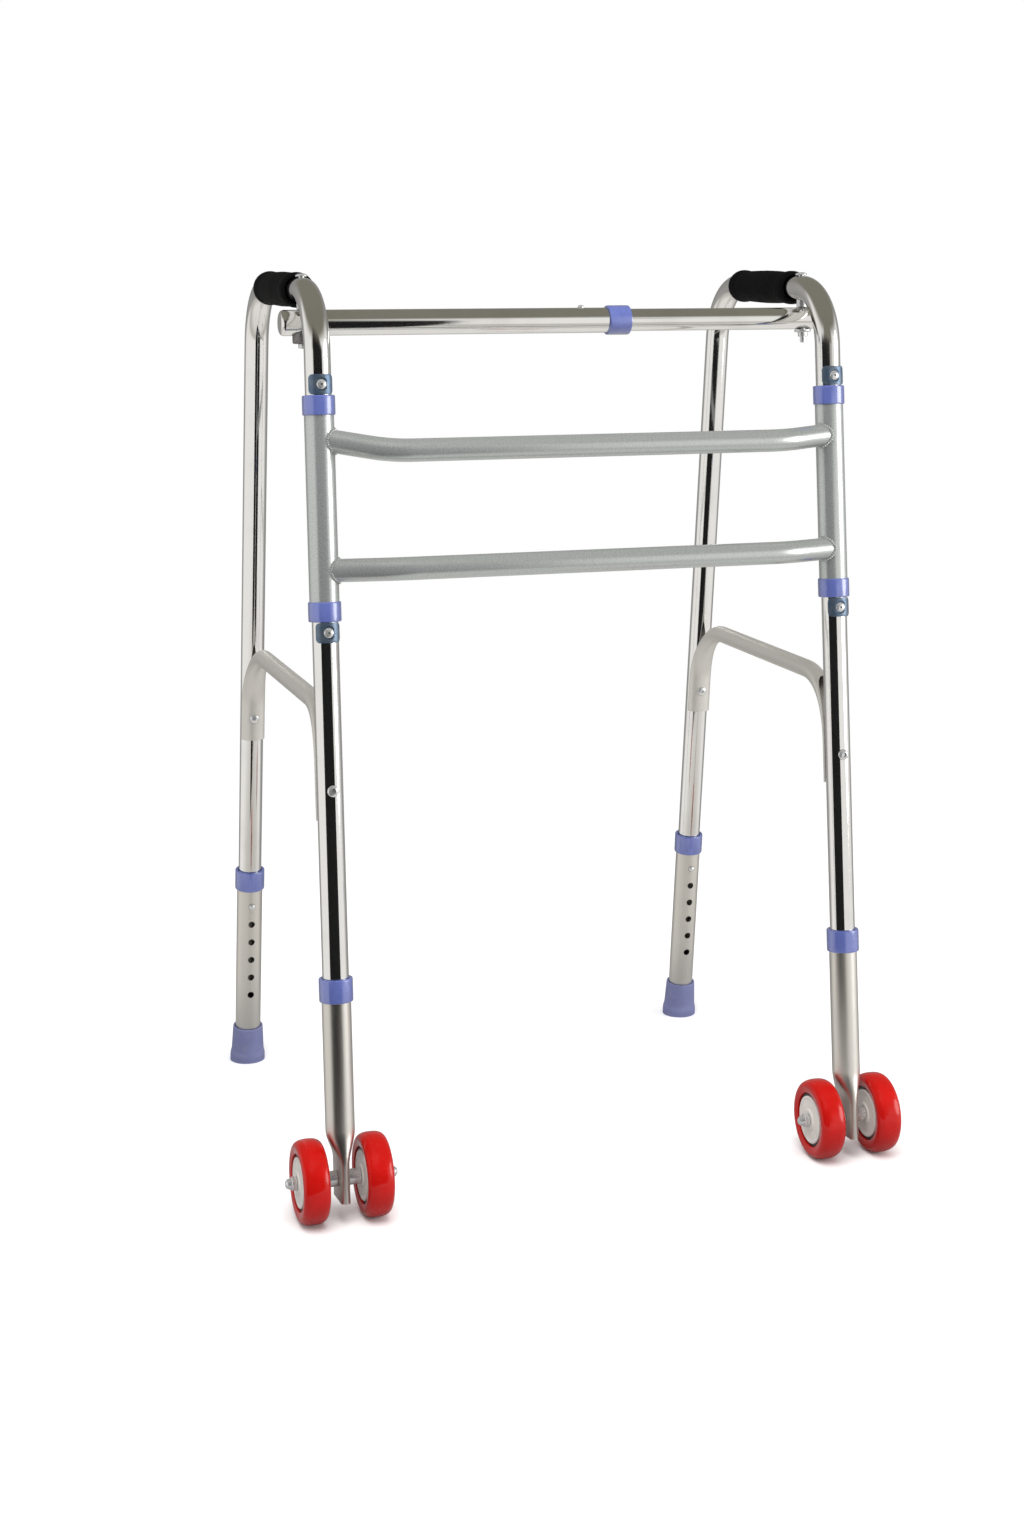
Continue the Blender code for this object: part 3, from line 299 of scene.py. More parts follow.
def moulded(name, colour, roughness, grain_size, dust=0.0, coat=0.0, depth=0.00008, gloss=0.5):
    finish = Finish(name, colour, roughness, 0.0, coat, gloss)
    patch = finish.mask(finish.noise(45.0, 4.0), 0.40, 0.70)
    grain = finish.noise(grain_size, 2.0)
    tint = finish.mix(patch, shade(colour, 0.94), shade(colour, 1.05))
    finish.set("Roughness", patch * 0.10 + grain * 0.08 + (roughness - 0.08))
    if dust:
        dusty = finish.mask(finish.noise(130.0, 6.0), 0.50, 0.78) * dust
        tint = finish.mix(dusty, tint, DUST)
    finish.set("Base Color", tint)
    finish.bump(grain, depth, 0.5)
    return finish.material


BLUE_PLASTIC = moulded("blue_plastic", (0.115, 0.15, 0.44), 0.26, 900.0, coat=1.0, gloss=1.0)
PALE_RUBBER = moulded("pale_rubber", (0.19, 0.205, 0.39), 0.60, 1400.0, dust=0.12, depth=0.00014)
BLACK_FOAM = moulded("black_foam", (0.003, 0.003, 0.0035), 0.78, 1900.0, dust=0.004,
                     depth=0.00035, gloss=0.08)
RED_TYRE = moulded("red_tyre", (0.54, 0.005, 0.003), 0.22, 500.0, dust=0.01, coat=0.35,
                   depth=0.00006, gloss=0.2)
HUB_PLASTIC = moulded("hub_plastic", (0.80, 0.745, 0.70), 0.36, 700.0)
# Near-black core ring: its dark colour is also painted shade, standing in for the shadow in the groove
# round the hub.
DARK_CORE_AND_GROOVE_SHADE = moulded("dark_core", (0.022, 0.018, 0.018), 0.45, 700.0)
print("soft finishes:", PALE_RUBBER.name, BLACK_FOAM.name, RED_TYRE.name)


# %% [markdown]
# Every piece ends the same way: a plain mesh whose place is in its vertices, on an object at the
# origin, smooth where it curves. `stand_for` lets it ride on its CAD body in place of its node.

# %% Finishing a piece
CREASE = math.radians(32)


def placed(name, data):
    """A new object with this data, at the origin."""
    thing = bpy.data.objects.new(name, data)
    bpy.context.scene.collection.objects.link(thing)
    return thing


def smooth(mesh):
    mesh.shade_smooth()
    mesh.set_sharp_from_angle(angle=CREASE)


def shown(name, mesh, material):
    mesh.materials.clear()
    mesh.materials.append(material)
    smooth(mesh)
    mesh.name = name
    return placed(name, mesh)


def closed_mesh(work, name):
    """Merges the doubles of a bmesh, turns its faces outwards and keeps it as a mesh."""
    bmesh.ops.remove_doubles(work, verts=work.verts, dist=1e-6)
    bmesh.ops.recalc_face_normals(work, faces=work.faces)
    mesh = bpy.data.meshes.new(name)
    work.to_mesh(mesh)
    work.free()
    return mesh


def settled(piece):
    """The piece with its modifiers worked into its mesh."""
    bpy.context.view_layer.update()
    graph = bpy.context.evaluated_depsgraph_get()
    mesh = bpy.data.meshes.new_from_object(piece.evaluated_get(graph), depsgraph=graph)
    piece.modifiers.clear()
    piece.data = mesh
    return piece


def cut(piece, cutter):
    """Takes the cutter's shape out of the piece."""
    modifier = piece.modifiers.new("cut", "BOOLEAN")
    modifier.operation = "DIFFERENCE"
    modifier.solver = "EXACT"
    modifier.object = cutter
    settled(piece)
    bpy.data.objects.remove(cutter, do_unlink=True)
    smooth(piece.data)
    return piece


def stand_for(piece, *nodes):
    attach(piece, BODY_OF[nodes[0]])
    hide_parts(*nodes)
    return piece


# %% [markdown]
# Most small parts of the walker are round: bushings, collars, feet, wheels, bolts. Each is
# turned like a piece on a lathe, from a short outline of radius and height whose corners are
# eased first, because a real edge always catches a thin line of light.

# %% Turned pieces
EASE_STEPS = 4
EASE_SHARE = 0.45


def eased(profile, radius, closed):
    """The outline with its corners rounded. The ends of an open outline stay."""
    rounded = []
    for i, point in enumerate(profile):
        here = Vector(point)
        if not closed and i in (0, len(profile) - 1):
            rounded.append(here)
            continue
        back = Vector(profile[i - 1]) - here
        on = Vector(profile[(i + 1) % len(profile)]) - here
        start = here + back.normalized() * min(radius, EASE_SHARE * back.length)
        end = here + on.normalized() * min(radius, EASE_SHARE * on.length)
        for k in range(EASE_STEPS + 1):
            t = k / EASE_STEPS
            rounded.append(start.lerp(here, t).lerp(here.lerp(end, t), t))
    return rounded


def upright(middle, up):
    """The place that puts a piece's own +Z along up, at a point."""
    return Matrix.Translation(middle) @ up.to_track_quat("Z", "Y").to_matrix().to_4x4()


def lathe(name, profile, middle, up, sides=FINE_SIDES, closed=False):
    work = bmesh.new()
    line = [work.verts.new((radius, 0.0, height)) for radius, height in profile]
    edges = [work.edges.new(pair) for pair in zip(line, line[1:])]
    if closed:
        edges.append(work.edges.new((line[-1], line[0])))
    bmesh.ops.spin(work, geom=line + edges, cent=(0.0, 0.0, 0.0), axis=(0.0, 0.0, 1.0),
                   angle=math.tau, steps=sides, use_merge=True)
    mesh = closed_mesh(work, name)
    mesh.transform(upright(middle, up))
    return mesh


def turned(node, profile, middle, up, material, ease=0.0006, sides=FINE_SIDES, closed=False,
           suffix="fine"):
    """A turned piece that stands for a CAD node."""
    mesh = lathe(node, eased(profile, ease, closed), middle, up, sides, closed)
    return stand_for(shown(node + "_" + suffix, mesh, material), node)


def pipe(outer, inner, start, end):
    """The closed outline of a tube's wall."""
    return [(outer, start), (outer, end), (inner, end), (inner, start)]


def both_ways(half, middle=()):
    """An outline and its mirror image in the middle plane."""
    return half + list(middle) + [(radius, -height) for radius, height in reversed(half)]


def dome(radius, top, drop):
    """An outline that curves from the middle of the top down to the rim."""
    turns = [math.radians(15 * k) for k in range(7)]
    return [(radius * math.sin(turn), top - drop * (1 - math.cos(turn))) for turn in turns]


def rod(name, start, end, radius, sides=FINE_SIDES):
    """A plain cylinder that is only used as a cutter."""
    length = (end - start).length
    mesh = lathe(name, [(0.0, 0.0), (radius, 0.0), (radius, length), (0.0, length)],
                 start, (end - start).normalized(), sides)
    return shown(name, mesh, CHROME)


# %% [markdown]
# Geometry Nodes make what follows a path or repeats. A tree is built once with named inputs, and
# `grown` gives it a source mesh and values, then keeps the result as a plain mesh.

# %% Building and running a tree
class Tree(Nodes):
    """A Geometry Nodes tree with named inputs besides its geometry and its material."""

    def __init__(self, name, inputs):
        super().__init__(bpy.data.node_groups.new(name, "GeometryNodeTree"))
        face = self.tree.interface
        face.new_socket("Geometry", in_out="INPUT", socket_type="NodeSocketGeometry")
        face.new_socket("Material", in_out="INPUT", socket_type="NodeSocketMaterial")
        for label, kind in inputs.items():
            face.new_socket(label, in_out="INPUT", socket_type="NodeSocket" + kind)
        face.new_socket("Geometry", in_out="OUTPUT", socket_type="NodeSocketGeometry")
        self.start = self.tree.nodes.new("NodeGroupInput")

    def given(self, label):
        return Signal(self, self.start.outputs[label])

    def copies(self, points, instance, way, size=(1.0, 1.0, 1.0)):
        """A copy of the instance on each point, with its +Z along the way."""
        lie = self.node("FunctionNodeAlignRotationToVector", {"axis": "Z"}, {"Vector": way})
        return self.node("GeometryNodeInstanceOnPoints", {},
                         {"Points": points, "Instance": instance, "Rotation": lie, "Scale": size})

    def finish(self, geometry):
        """Every tree ends in real faces with their material."""
        real = self.node("GeometryNodeRealizeInstances", {}, {"Geometry": geometry})
        painted = self.node("GeometryNodeSetMaterial", {},
                            {"Geometry": real, "Material": self.given("Material")})
        self.feed(self.tree.nodes.new("NodeGroupOutput").inputs["Geometry"], painted)


def grown(name, tree, source, material, **values):
    modifier = source.modifiers.new("grow", "NODES")
    modifier.node_group = tree.tree
    values["Material"] = material
    for item in tree.tree.interface.items_tree:
        if item.in_out == "INPUT" and item.name.replace(" ", "_") in values:
            modifier[item.identifier] = values[item.name.replace(" ", "_")]
    settled(source)
    mesh = source.data
    bpy.data.objects.remove(source, do_unlink=True)
    return shown(name, mesh, material)


def polyline(name, points, bends=None, closed=False):
    """A line of edges. Each point keeps the radius that its corner is bent to."""
    mesh = bpy.data.meshes.new(name)
    edges = [(i, i + 1) for i in range(len(points) - 1)]
    mesh.from_pydata(points, edges + ([(len(points) - 1, 0)] if closed else []), [])
    stored = mesh.attributes.new("bend", "FLOAT", "POINT")
    stored.data.foreach_set("value", bends or [0.0] * len(points))
    return placed(name, mesh)


# %% [markdown]
# A side frame is one length of tube, bent twice: up the front leg, back along the hand rail and
# down the rear leg. Four corner points and two bend radii are the whole rule, so the tree rounds
# the corners of a line and carries a circle along it.

# %% The bent tube tree
bent_tube = Tree("bent_tube", {"Radius": "Float", "Sides": "Int", "Bend Steps": "Int"})
path = bent_tube.node("GeometryNodeMeshToCurve", {}, {"Mesh": bent_tube.given("Geometry")})
bend = bent_tube.node("GeometryNodeInputNamedAttribute", {"data_type": "FLOAT"}, {"Name": "bend"})
rounded = bent_tube.node("GeometryNodeFilletCurve", {"mode": "POLY"},
                         {"Curve": path, "Count": bent_tube.given("Bend Steps"), "Radius": bend})
circle = bent_tube.node("GeometryNodeCurvePrimitiveCircle", {"mode": "RADIUS"},
                        {"Resolution": bent_tube.given("Sides"), "Radius": bent_tube.given("Radius")})
bent_tube.finish(bent_tube.node("GeometryNodeCurveToMesh", {},
                                {"Curve": rounded, "Profile Curve": circle, "Fill Caps": True}))
TUBE_VALUES = {"Sides": FINE_SIDES, "Bend_Steps": 28}

# %% Side tubes
SIDE_TUBE_ENDS = (0.1945, 0.1805)
for side in SIDES:
    corners = [on_front(side, SIDE_TUBE_ENDS[0]), CORNER[side],
               CORNER[side] + Vector((0.0, HANDLE_DEPTH, 0.0)), on_rear(side, SIDE_TUBE_ENDS[1])]
    line = polyline(side + "_side_path", corners, [0.0, FRONT_BEND, REAR_BEND, 0.0])
    tube = grown(side + "_side_tube_fine", bent_tube, line, CHROME, Radius=TUBE_RADIUS, **TUBE_VALUES)
    stand_for(tube, side + "_side_tube")
    print(tube.name, len(tube.data.polygons), "faces")

# %% [markdown]
# The front frame has two bowed rails. Each is coped, which means cut to the round of the sleeve
# that it meets, and welded there.

# %% Rails and sleeves
RAILS = {"upper_cross_tube": (0.7422, 0.7320, 0.7345), "lower_cross_tube": (0.6175, 0.6203, 0.6190)}
RAIL_BOW = 0.028
RAIL_SWEEP = math.radians(24)
RAIL_BEND = 0.090
SLEEVE_BOTTOM = 0.5825
SLEEVE_TOP = 0.7708
SLEEVE_WALL = 0.0012
COPE_REACH = 0.06
WELD_BITE = 0.0002


def rail_corners(heights):
    """The corners of a rail, from its heights at the left sleeve, in its middle and at the right."""
    run = RAIL_BOW / math.tan(RAIL_SWEEP)
    forward = Vector((0.0, -RAIL_BOW, 0.0))
    left, middle, right = heights
    return [on_front("left", left), on_front("left", middle) + ACROSS * run + forward,
            on_front("right", middle) - ACROSS * run + forward, on_front("right", right)]


for node, heights in RAILS.items():
    line = polyline(node + "_path", rail_corners(heights), [0.0, RAIL_BEND, RAIL_BEND, 0.0])
    tube = grown(node + "_fine", bent_tube, line, ENAMEL, Radius=RAIL_RADIUS, **TUBE_VALUES)
    for side in SIDES:
        foot = on_front(side, min(heights) - COPE_REACH)
        cut(tube, rod("cope", foot, foot + FRONT_UP * 2 * COPE_REACH, SLEEVE_RADIUS - WELD_BITE, 128))
    stand_for(tube, node)
for side in SIDES:
    top = (SLEEVE_TOP - SLEEVE_BOTTOM) / FRONT_UP.z
    wall = pipe(SLEEVE_RADIUS, SLEEVE_RADIUS - SLEEVE_WALL, top, 0.0)
    turned(side + "_sleeve", wall, on_front(side, SLEEVE_BOTTOM), FRONT_UP, ENAMEL, closed=True)
print("rails and sleeves done")

# %% [markdown]
# A weld is a row of overlapping puddles along the seam. The seam here is where two round tubes
# meet, so its points come from sliding along the rail until the sleeve's surface is reached. The
# tree sets a slightly different flattened ball on each step of that line, from a fixed seed.

# %% The weld tree
weld = Tree("weld", {"Beads": "Int", "Bead Size": "Float", "Seed": "Int"})
seam = weld.node("GeometryNodeMeshToCurve", {}, {"Mesh": weld.given("Geometry")})
steps = weld.node("GeometryNodeResampleCurve", {}, {"Curve": seam, "Count": weld.given("Beads")})
ball = weld.node("GeometryNodeMeshIcoSphere", {},
                 {"Radius": weld.given("Bead Size"), "Subdivisions": 3})
uneven = weld.node("FunctionNodeRandomValue", {"data_type": "FLOAT_VECTOR"},
                   {0: (0.85, 0.80, 0.55), 1: (1.10, 1.15, 0.75), "Seed": weld.given("Seed")})
weld.finish(weld.copies(steps, ball, weld.node("GeometryNodeInputTangent"), uneven))


# %% Welds
BEAD_SIZE = 0.0021
BEADS = 34
SEAM_POINTS = 72


def seam_points(corner, toward):
    """Where the skin of a rail from a corner point meets the sleeve on the front leg's line."""
    run = (toward - corner).normalized()
    side_way = run.cross(FRONT_UP).normalized()
    up_way = side_way.cross(run)
    flat_run = run - FRONT_UP * run.dot(FRONT_UP)
    points = []
    for k in range(SEAM_POINTS):
        turn = math.tau * k / SEAM_POINTS
        skin = (side_way * math.cos(turn) + up_way * math.sin(turn)) * RAIL_RADIUS
        flat = skin - FRONT_UP * skin.dot(FRONT_UP)
        a, b, c = flat_run.dot(flat_run), flat.dot(flat_run), flat.dot(flat) - SLEEVE_RADIUS ** 2
        points.append(corner + skin + run * ((-b + math.sqrt(b * b - a * c)) / a))
    return points


for node, heights in RAILS.items():
    corners = rail_corners(heights)
    for side, corner, toward in (("left", corners[0], corners[1]), ("right", corners[3], corners[2])):
        line = polyline("seam", seam_points(corner, toward), closed=True)
        bead = grown(node + "_" + side + "_weld", weld, line, ENAMEL, Beads=BEADS,
                     Bead_Size=BEAD_SIZE, Seed=len(bpy.data.objects))
        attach(bead, "front_frame")
print("beads on each seam:", BEADS)

# %% [markdown]
# Blue bushings close the sleeves and turn on the legs with a little play. The collars at the
# leg joints are the same moulding in a smaller size.

# %% Bushings and collars
UPPER_BUSHING_HEIGHT = 0.7648
LOWER_BUSHING_HEIGHT = 0.5885
BUSHING_LENGTH = 0.0190
BUSHING_RADIUS = 0.0158
COLLAR_LENGTH = 0.0225
COLLAR_RADIUS = 0.0163
COLLAR_TOPS = {"front": 0.2312, "rear": 0.2295}
BAR_COLLAR_RADIUS = 0.0149
BAR_COLLAR_LENGTH = 0.0235
RING_SWELL = 0.00005


def ring_profile(radius, bore, length):
    """A plain ring that is a touch wider in its middle, as moulded rings are."""
    return [(radius, length), (radius + RING_SWELL, length / 2), (radius, 0.0), (bore, 0.0),
            (bore, length)]


for side in SIDES:
    bushing = ring_profile(BUSHING_RADIUS, TUBE_RADIUS + GAP, BUSHING_LENGTH)
    for level, height, up in (("upper", UPPER_BUSHING_HEIGHT, FRONT_UP),
                              ("lower", LOWER_BUSHING_HEIGHT, -FRONT_UP)):
        turned(f"{side}_{level}_bushing", bushing, on_front(side, height), up, BLUE_PLASTIC, 0.0014,
               closed=True)
    collar = ring_profile(COLLAR_RADIUS, TUBE_RADIUS + GAP, COLLAR_LENGTH)
    for leg, point, up in (("front", on_front, FRONT_UP), ("rear", on_rear, REAR_UP)):
        turned(f"{side}_{leg}_collar", collar, point(side, COLLAR_TOPS[leg]), -up, BLUE_PLASTIC,
               0.0013, closed=True)

# %% [markdown]
# Each hand grip is a soft foam sleeve pulled over the rail: fat rims at its ends, a groove by
# each rim, and a long low waist for the hand.

# %% Grips
GRIP_START = 0.0745
GRIP_LENGTH = 0.1430
GRIP_RADIUS = 0.0176
GRIP_EASE = 0.0050
grip_bore = TUBE_RADIUS + 0.0001
grip_outline = [(grip_bore, 0.0), (0.86, 0.0), (1.0, 0.028), (1.0, 0.099), (0.925, 0.146),
                (0.975, 0.30), (0.995, 0.50), (0.965, 0.70), (0.93, 0.85), (1.0, 0.91),
                (1.0, 0.965), (0.86, 1.0), (grip_bore, 1.0)]
grip_profile = [(radius if radius == grip_bore else radius * GRIP_RADIUS, place * GRIP_LENGTH)
                for radius, place in grip_outline]
for side in SIDES:
    turned(side + "_grip", grip_profile, CORNER[side] + Vector((0.0, GRIP_START, 0.0)),
           Vector((0.0, 1.0, 0.0)), BLACK_FOAM, GRIP_EASE, closed=True)
print("grip length", GRIP_LENGTH)

# %% [markdown]
# The lower legs have a row of holes for the snap button. The tree sets one short rod per hole on
# a line of points and takes them all out of the leg in one cut, so the holes are real and show
# the dark inside of the tube.

# %% The hole row tree
hole_row = Tree("hole_row", {"First": "Vector", "Step": "Vector", "Count": "Int",
                             "Radius": "Float", "Facing": "Vector"})
row = hole_row.node("GeometryNodeMeshLine", {"mode": "OFFSET"},
                    {"Count": hole_row.given("Count"), "Start Location": hole_row.given("First"),
                     "Offset": hole_row.given("Step")})
drill = hole_row.node("GeometryNodeMeshCylinder", {},
                      {"Vertices": 32, "Radius": hole_row.given("Radius"), "Depth": 0.012})
drills = hole_row.copies(row, drill, hole_row.given("Facing"))
real_drills = hole_row.node("GeometryNodeRealizeInstances", {}, {"Geometry": drills})
hole_row.finish(hole_row.node("GeometryNodeMeshBoolean", {"operation": "DIFFERENCE", "solver": "EXACT"},
                              {"Mesh 1": hole_row.given("Geometry"), "Mesh 2": real_drills}))

# %% Lower legs
BUTTON_HEIGHTS = {"front": 0.2035, "rear": 0.1895}
HOLE_PITCH = 0.0213
HOLE_COUNT = 6
HOLE_RADIUS = 0.0037
LEG_WALL = 0.0010
FLAT_START, FLAT_FULL, FLAT_END = 0.0870, 0.0560, 0.0200
FLAT_THICKNESS = 0.0090
PRESS_STEPS = 16
COLLAR_LIP = 0.0023
REAR_LEG_END = 0.0085


def smooth_step(t):
    t = min(max(t, 0.0), 1.0)
    return t * t * (3.0 - 2.0 * t)


def skin(name, rings, looped=False):
    """A skin through rings of points. A looped skin joins its last ring to its first."""
    work = bmesh.new()
    rows = [[work.verts.new(point) for point in ring] for ring in rings]
    pairs = list(zip(rows, rows[1:])) + ([(rows[-1], rows[0])] if looped else [])
    for low, high in pairs:
        for i in range(len(low)):
            j = (i + 1) % len(low)
            work.faces.new((low[i], low[j], high[j], high[i]))
    if not looped:
        work.faces.new(rows[0])
        work.faces.new(rows[-1])
    return closed_mesh(work, name)


def pressed_ring(side, height, shrink):
    """A ring of the front leg, round above and pressed flat round the axle, with the same girth."""
    press = smooth_step((FLAT_START - height) / (FLAT_START - FLAT_FULL))
    half = LOWER_RADIUS + (FLAT_THICKNESS / 2 - LOWER_RADIUS) * press - shrink
    straight = math.pi * (LOWER_RADIUS - shrink - half) / 2
    middle = on_front(side, height)
    ring = []
    for k in range(FINE_SIDES):
        turn = math.tau * (k + 0.5) / FINE_SIDES
        flank = straight if math.sin(turn) > 0 else -straight
        ring.append(middle + ACROSS * (half * math.cos(turn))
                    + FRONT_BACK * (half * math.sin(turn) + flank))
    return ring


def leg_heights(top):
    press = [FLAT_START + (FLAT_FULL - FLAT_START) * k / PRESS_STEPS for k in range(PRESS_STEPS + 1)]
    return [top] + press + [FLAT_END]


def lower_leg(node, mesh, material, button, up, facing):
    """A leg with its row of holes, from the button's spot down."""
    leg = grown(node + "_fine", hole_row, shown("leg", mesh, material), material, Count=HOLE_COUNT,
                First=button + facing * LOWER_RADIUS, Step=-up * HOLE_PITCH, Radius=HOLE_RADIUS,
                Facing=facing)
    return stand_for(leg, node)


for side in SIDES:
    heights = leg_heights(COLLAR_TOPS["front"] - COLLAR_LIP)
    rings = [pressed_ring(side, height, 0.0) for height in heights]
    rings += [pressed_ring(side, height, LEG_WALL) for height in reversed(heights)]
    lower_leg(side + "_front_lower_leg", skin("leg", rings, looped=True), SATIN_FRONT,
              on_front(side, BUTTON_HEIGHTS["front"]), FRONT_UP, FRONT_BACK)
    low, high = on_rear(side, REAR_LEG_END), on_rear(side, COLLAR_TOPS["rear"] - COLLAR_LIP)
    wall = pipe(LOWER_RADIUS, LOWER_RADIUS - LEG_WALL, 0.0, (high - low).length)
    leg = lower_leg(side + "_rear_lower_leg", lathe("leg", wall, low, REAR_UP, closed=True),
                    SATIN_REAR, on_rear(side, BUTTON_HEIGHTS["rear"]), REAR_UP, REAR_FRONT)
    print(side, "legs:", len(leg.data.polygons), "faces in the rear one")

# %% [markdown]
# Rubber feet carry the rear legs. A foot follows its leg's slant, and its sole is worn level
# with the floor.

# %% Feet
FOOT_TOP = 0.0420
FOOT_SOLE = 0.0080
FOOT_TOP_RADIUS = 0.0167
FOOT_RADIUS = 0.0195
for side in SIDES:
    below = -0.0070  # The floor cut takes this off again, square to the floor.
    profile = [(0.0, FOOT_SOLE), (LOWER_RADIUS, FOOT_SOLE), (LOWER_RADIUS + GAP, FOOT_TOP),
               (FOOT_TOP_RADIUS, FOOT_TOP), (FOOT_TOP_RADIUS + 0.0008, 0.62 * FOOT_TOP),
               (FOOT_TOP_RADIUS + 0.0014, 0.34 * FOOT_TOP), (FOOT_RADIUS, 0.20 * FOOT_TOP),
               (FOOT_RADIUS, below), (0.0, below)]
    foot = turned(side + "_rear_foot", profile, on_rear(side, 0.0), REAR_UP, PALE_RUBBER, 0.0014)
    under = on_rear(side, 0.0)
    cut(foot, rod("floor_cut", under - Vector((0.0, 0.0, 0.03)), under, 0.05, 4))

# %% [markdown]
# A brace ties the front leg to the rear leg. It is one tube whose ends are opened into troughs:
# through each bend the side towards the leg is cut away, what is left widens, and it hugs the
# leg. The outside and the inside are two skins through rings, and the second is cut from the
# first, so the cut edge has the thickness of the wall.

# %% Braces
BRACE_HEIGHT = 0.4848
BRACE_RADIUS = 0.0092
BRACE_WALL = 0.0013
BRACE_BEND = 0.070
BRACE_ENDS = (0.3840, 0.3800)
SADDLE_OFFSET = 0.0066
SADDLE_WIDTH = 0.0130
SADDLE_DEPTH = 0.0083
SADDLE_LIP = 0.0028
BEND_STEPS = 24
BRACE_SIDES = 48
TROUGH_SHARE = 0.85
HOLLOW_OPENING = 0.0100
HOLLOW_BEYOND = 0.0040
LEG_CUT_BELOW = 0.02
LEG_CUT_LENGTH = 0.145


def rounded_path(corners, radius):
    """Straight runs joined by arcs, with how far each point is into its end's trough."""
    path = [(corners[0], 1.0)]
    for i in (1, 2):
        corner = corners[i]
        back = (corners[i - 1] - corner).normalized()
        on = (corners[i + 1] - corner).normalized()
        turn = math.pi - back.angle(on)
        middle = corner + (back + on).normalized() * radius / math.cos(turn / 2)
        start = corner + back * radius * math.tan(turn / 2) - middle
        for k in range(BEND_STEPS + 1):
            swing = Matrix.Rotation(-turn * k / BEND_STEPS, 3, back.cross(on).normalized())
            into = k / BEND_STEPS if i == 1 else 1.0 - k / BEND_STEPS
            path.append((middle + swing @ start, 1.0 - smooth_step(into / TROUGH_SHARE)))
    return path + [(corners[3], 1.0)]


def brace_rings(side, shrink, opening, beyond):
    """Rings along a brace, drawn in by shrink. The hollow opens wider and goes beyond the ends."""
    rear_in = Vector((0.0, -SADDLE_OFFSET / REAR_UP.z, 0.0))
    front_in = Vector((0.0, SADDLE_OFFSET / FRONT_UP.z, 0.0))
    corners = [on_rear(side, BRACE_ENDS[0] - beyond) + rear_in,
               on_rear(side, BRACE_HEIGHT) + rear_in, on_front(side, BRACE_HEIGHT) + front_in,
               on_front(side, BRACE_ENDS[1] - beyond) + front_in]
    path = rounded_path(corners, BRACE_BEND)
    rings = []
    for i, (point, opened) in enumerate(path):
        along = (path[min(i + 1, len(path) - 1)][0] - path[max(i - 1, 0)][0]).normalized()
        out = ACROSS.cross(along)
        wide = BRACE_RADIUS + (SADDLE_WIDTH - BRACE_RADIUS) * opened - shrink
        deep = BRACE_RADIUS + (SADDLE_DEPTH - BRACE_RADIUS) * opened - shrink
        lip = BRACE_RADIUS + (SADDLE_LIP - BRACE_RADIUS) * opened - shrink + opening * opened
        ring = []
        for k in range(BRACE_SIDES):
            turn = math.tau * (k + 0.5) / BRACE_SIDES
            level = math.sin(turn) * (deep if math.sin(turn) > 0 else lip)
            ring.append(point + ACROSS * wide * math.cos(turn) + out * level)
        rings.append(ring)
    return rings


for side in SIDES:
    outside = skin(side + "_brace", brace_rings(side, 0.0, 0.0, 0.0))
    brace = shown(side + "_brace_fine", outside, SATIN_BRACE)
    for low, up in ((on_front(side, BRACE_ENDS[1] - LEG_CUT_BELOW), FRONT_UP),
                    (on_rear(side, BRACE_ENDS[0] - LEG_CUT_BELOW), REAR_UP)):
        cut(brace, rod("leg_cut", low, low + up * LEG_CUT_LENGTH, TUBE_RADIUS + GAP, 96))
    inside = skin("hollow", brace_rings(side, BRACE_WALL, HOLLOW_OPENING, HOLLOW_BEYOND))
    cut(brace, shown("hollow", inside, SATIN_BRACE))
    stand_for(brace, side + "_brace")
    print(brace.name, len(brace.data.polygons), "faces")

# %% [markdown]
# The stop plates are short curved straps, one over and one under each sleeve. A grid of columns
# is trimmed to rounded corners, wrapped round the leg, and given its thickness. A flat round
# seat is sunk in its middle for the screw.

# %% Stop plates
PLATE_HEIGHT = 0.0192
PLATE_THICKNESS = 0.0022
PLATE_REACH = math.radians(50)
PLATE_CORNER = 0.0045
SEAT_DEPTH = 0.0010
SEAT_RADIUS = 0.0064
PLATE_COLUMNS = 36
PLATE_ROWS = 8
PLATE_EDGE = 0.0004
PLATE_FACE = TUBE_RADIUS + GAP + PLATE_THICKNESS - SEAT_DEPTH
UPPER_PLATE_MIDDLE = UPPER_BUSHING_HEIGHT + BUSHING_LENGTH + GAP + PLATE_HEIGHT / 2
LOWER_PLATE_MIDDLE = LOWER_BUSHING_HEIGHT - BUSHING_LENGTH - GAP - PLATE_HEIGHT / 2


def plate_mesh(middle, radius):
    half_width, half_height = PLATE_REACH * radius, PLATE_HEIGHT / 2
    work = bmesh.new()
    lines = []
    for i in range(PLATE_COLUMNS + 1):
        across = -half_width * math.cos(math.pi * i / PLATE_COLUMNS)
        past = max(abs(across) - (half_width - PLATE_CORNER), 0.0)
        trim = PLATE_CORNER - math.sqrt(max(PLATE_CORNER ** 2 - past ** 2, 0.0))
        wrap = across / radius
        out = ACROSS * math.sin(wrap) - FRONT_BACK * math.cos(wrap)
        reach = FRONT_UP * (half_height - trim)
        lines.append([work.verts.new(middle + out * radius + reach * (2 * j / PLATE_ROWS - 1))
                      for j in range(PLATE_ROWS + 1)])
    for first, second in zip(lines, lines[1:]):
        for j in range(PLATE_ROWS):
            work.faces.new((first[j], second[j], second[j + 1], first[j + 1]))
    return closed_mesh(work, "plate")


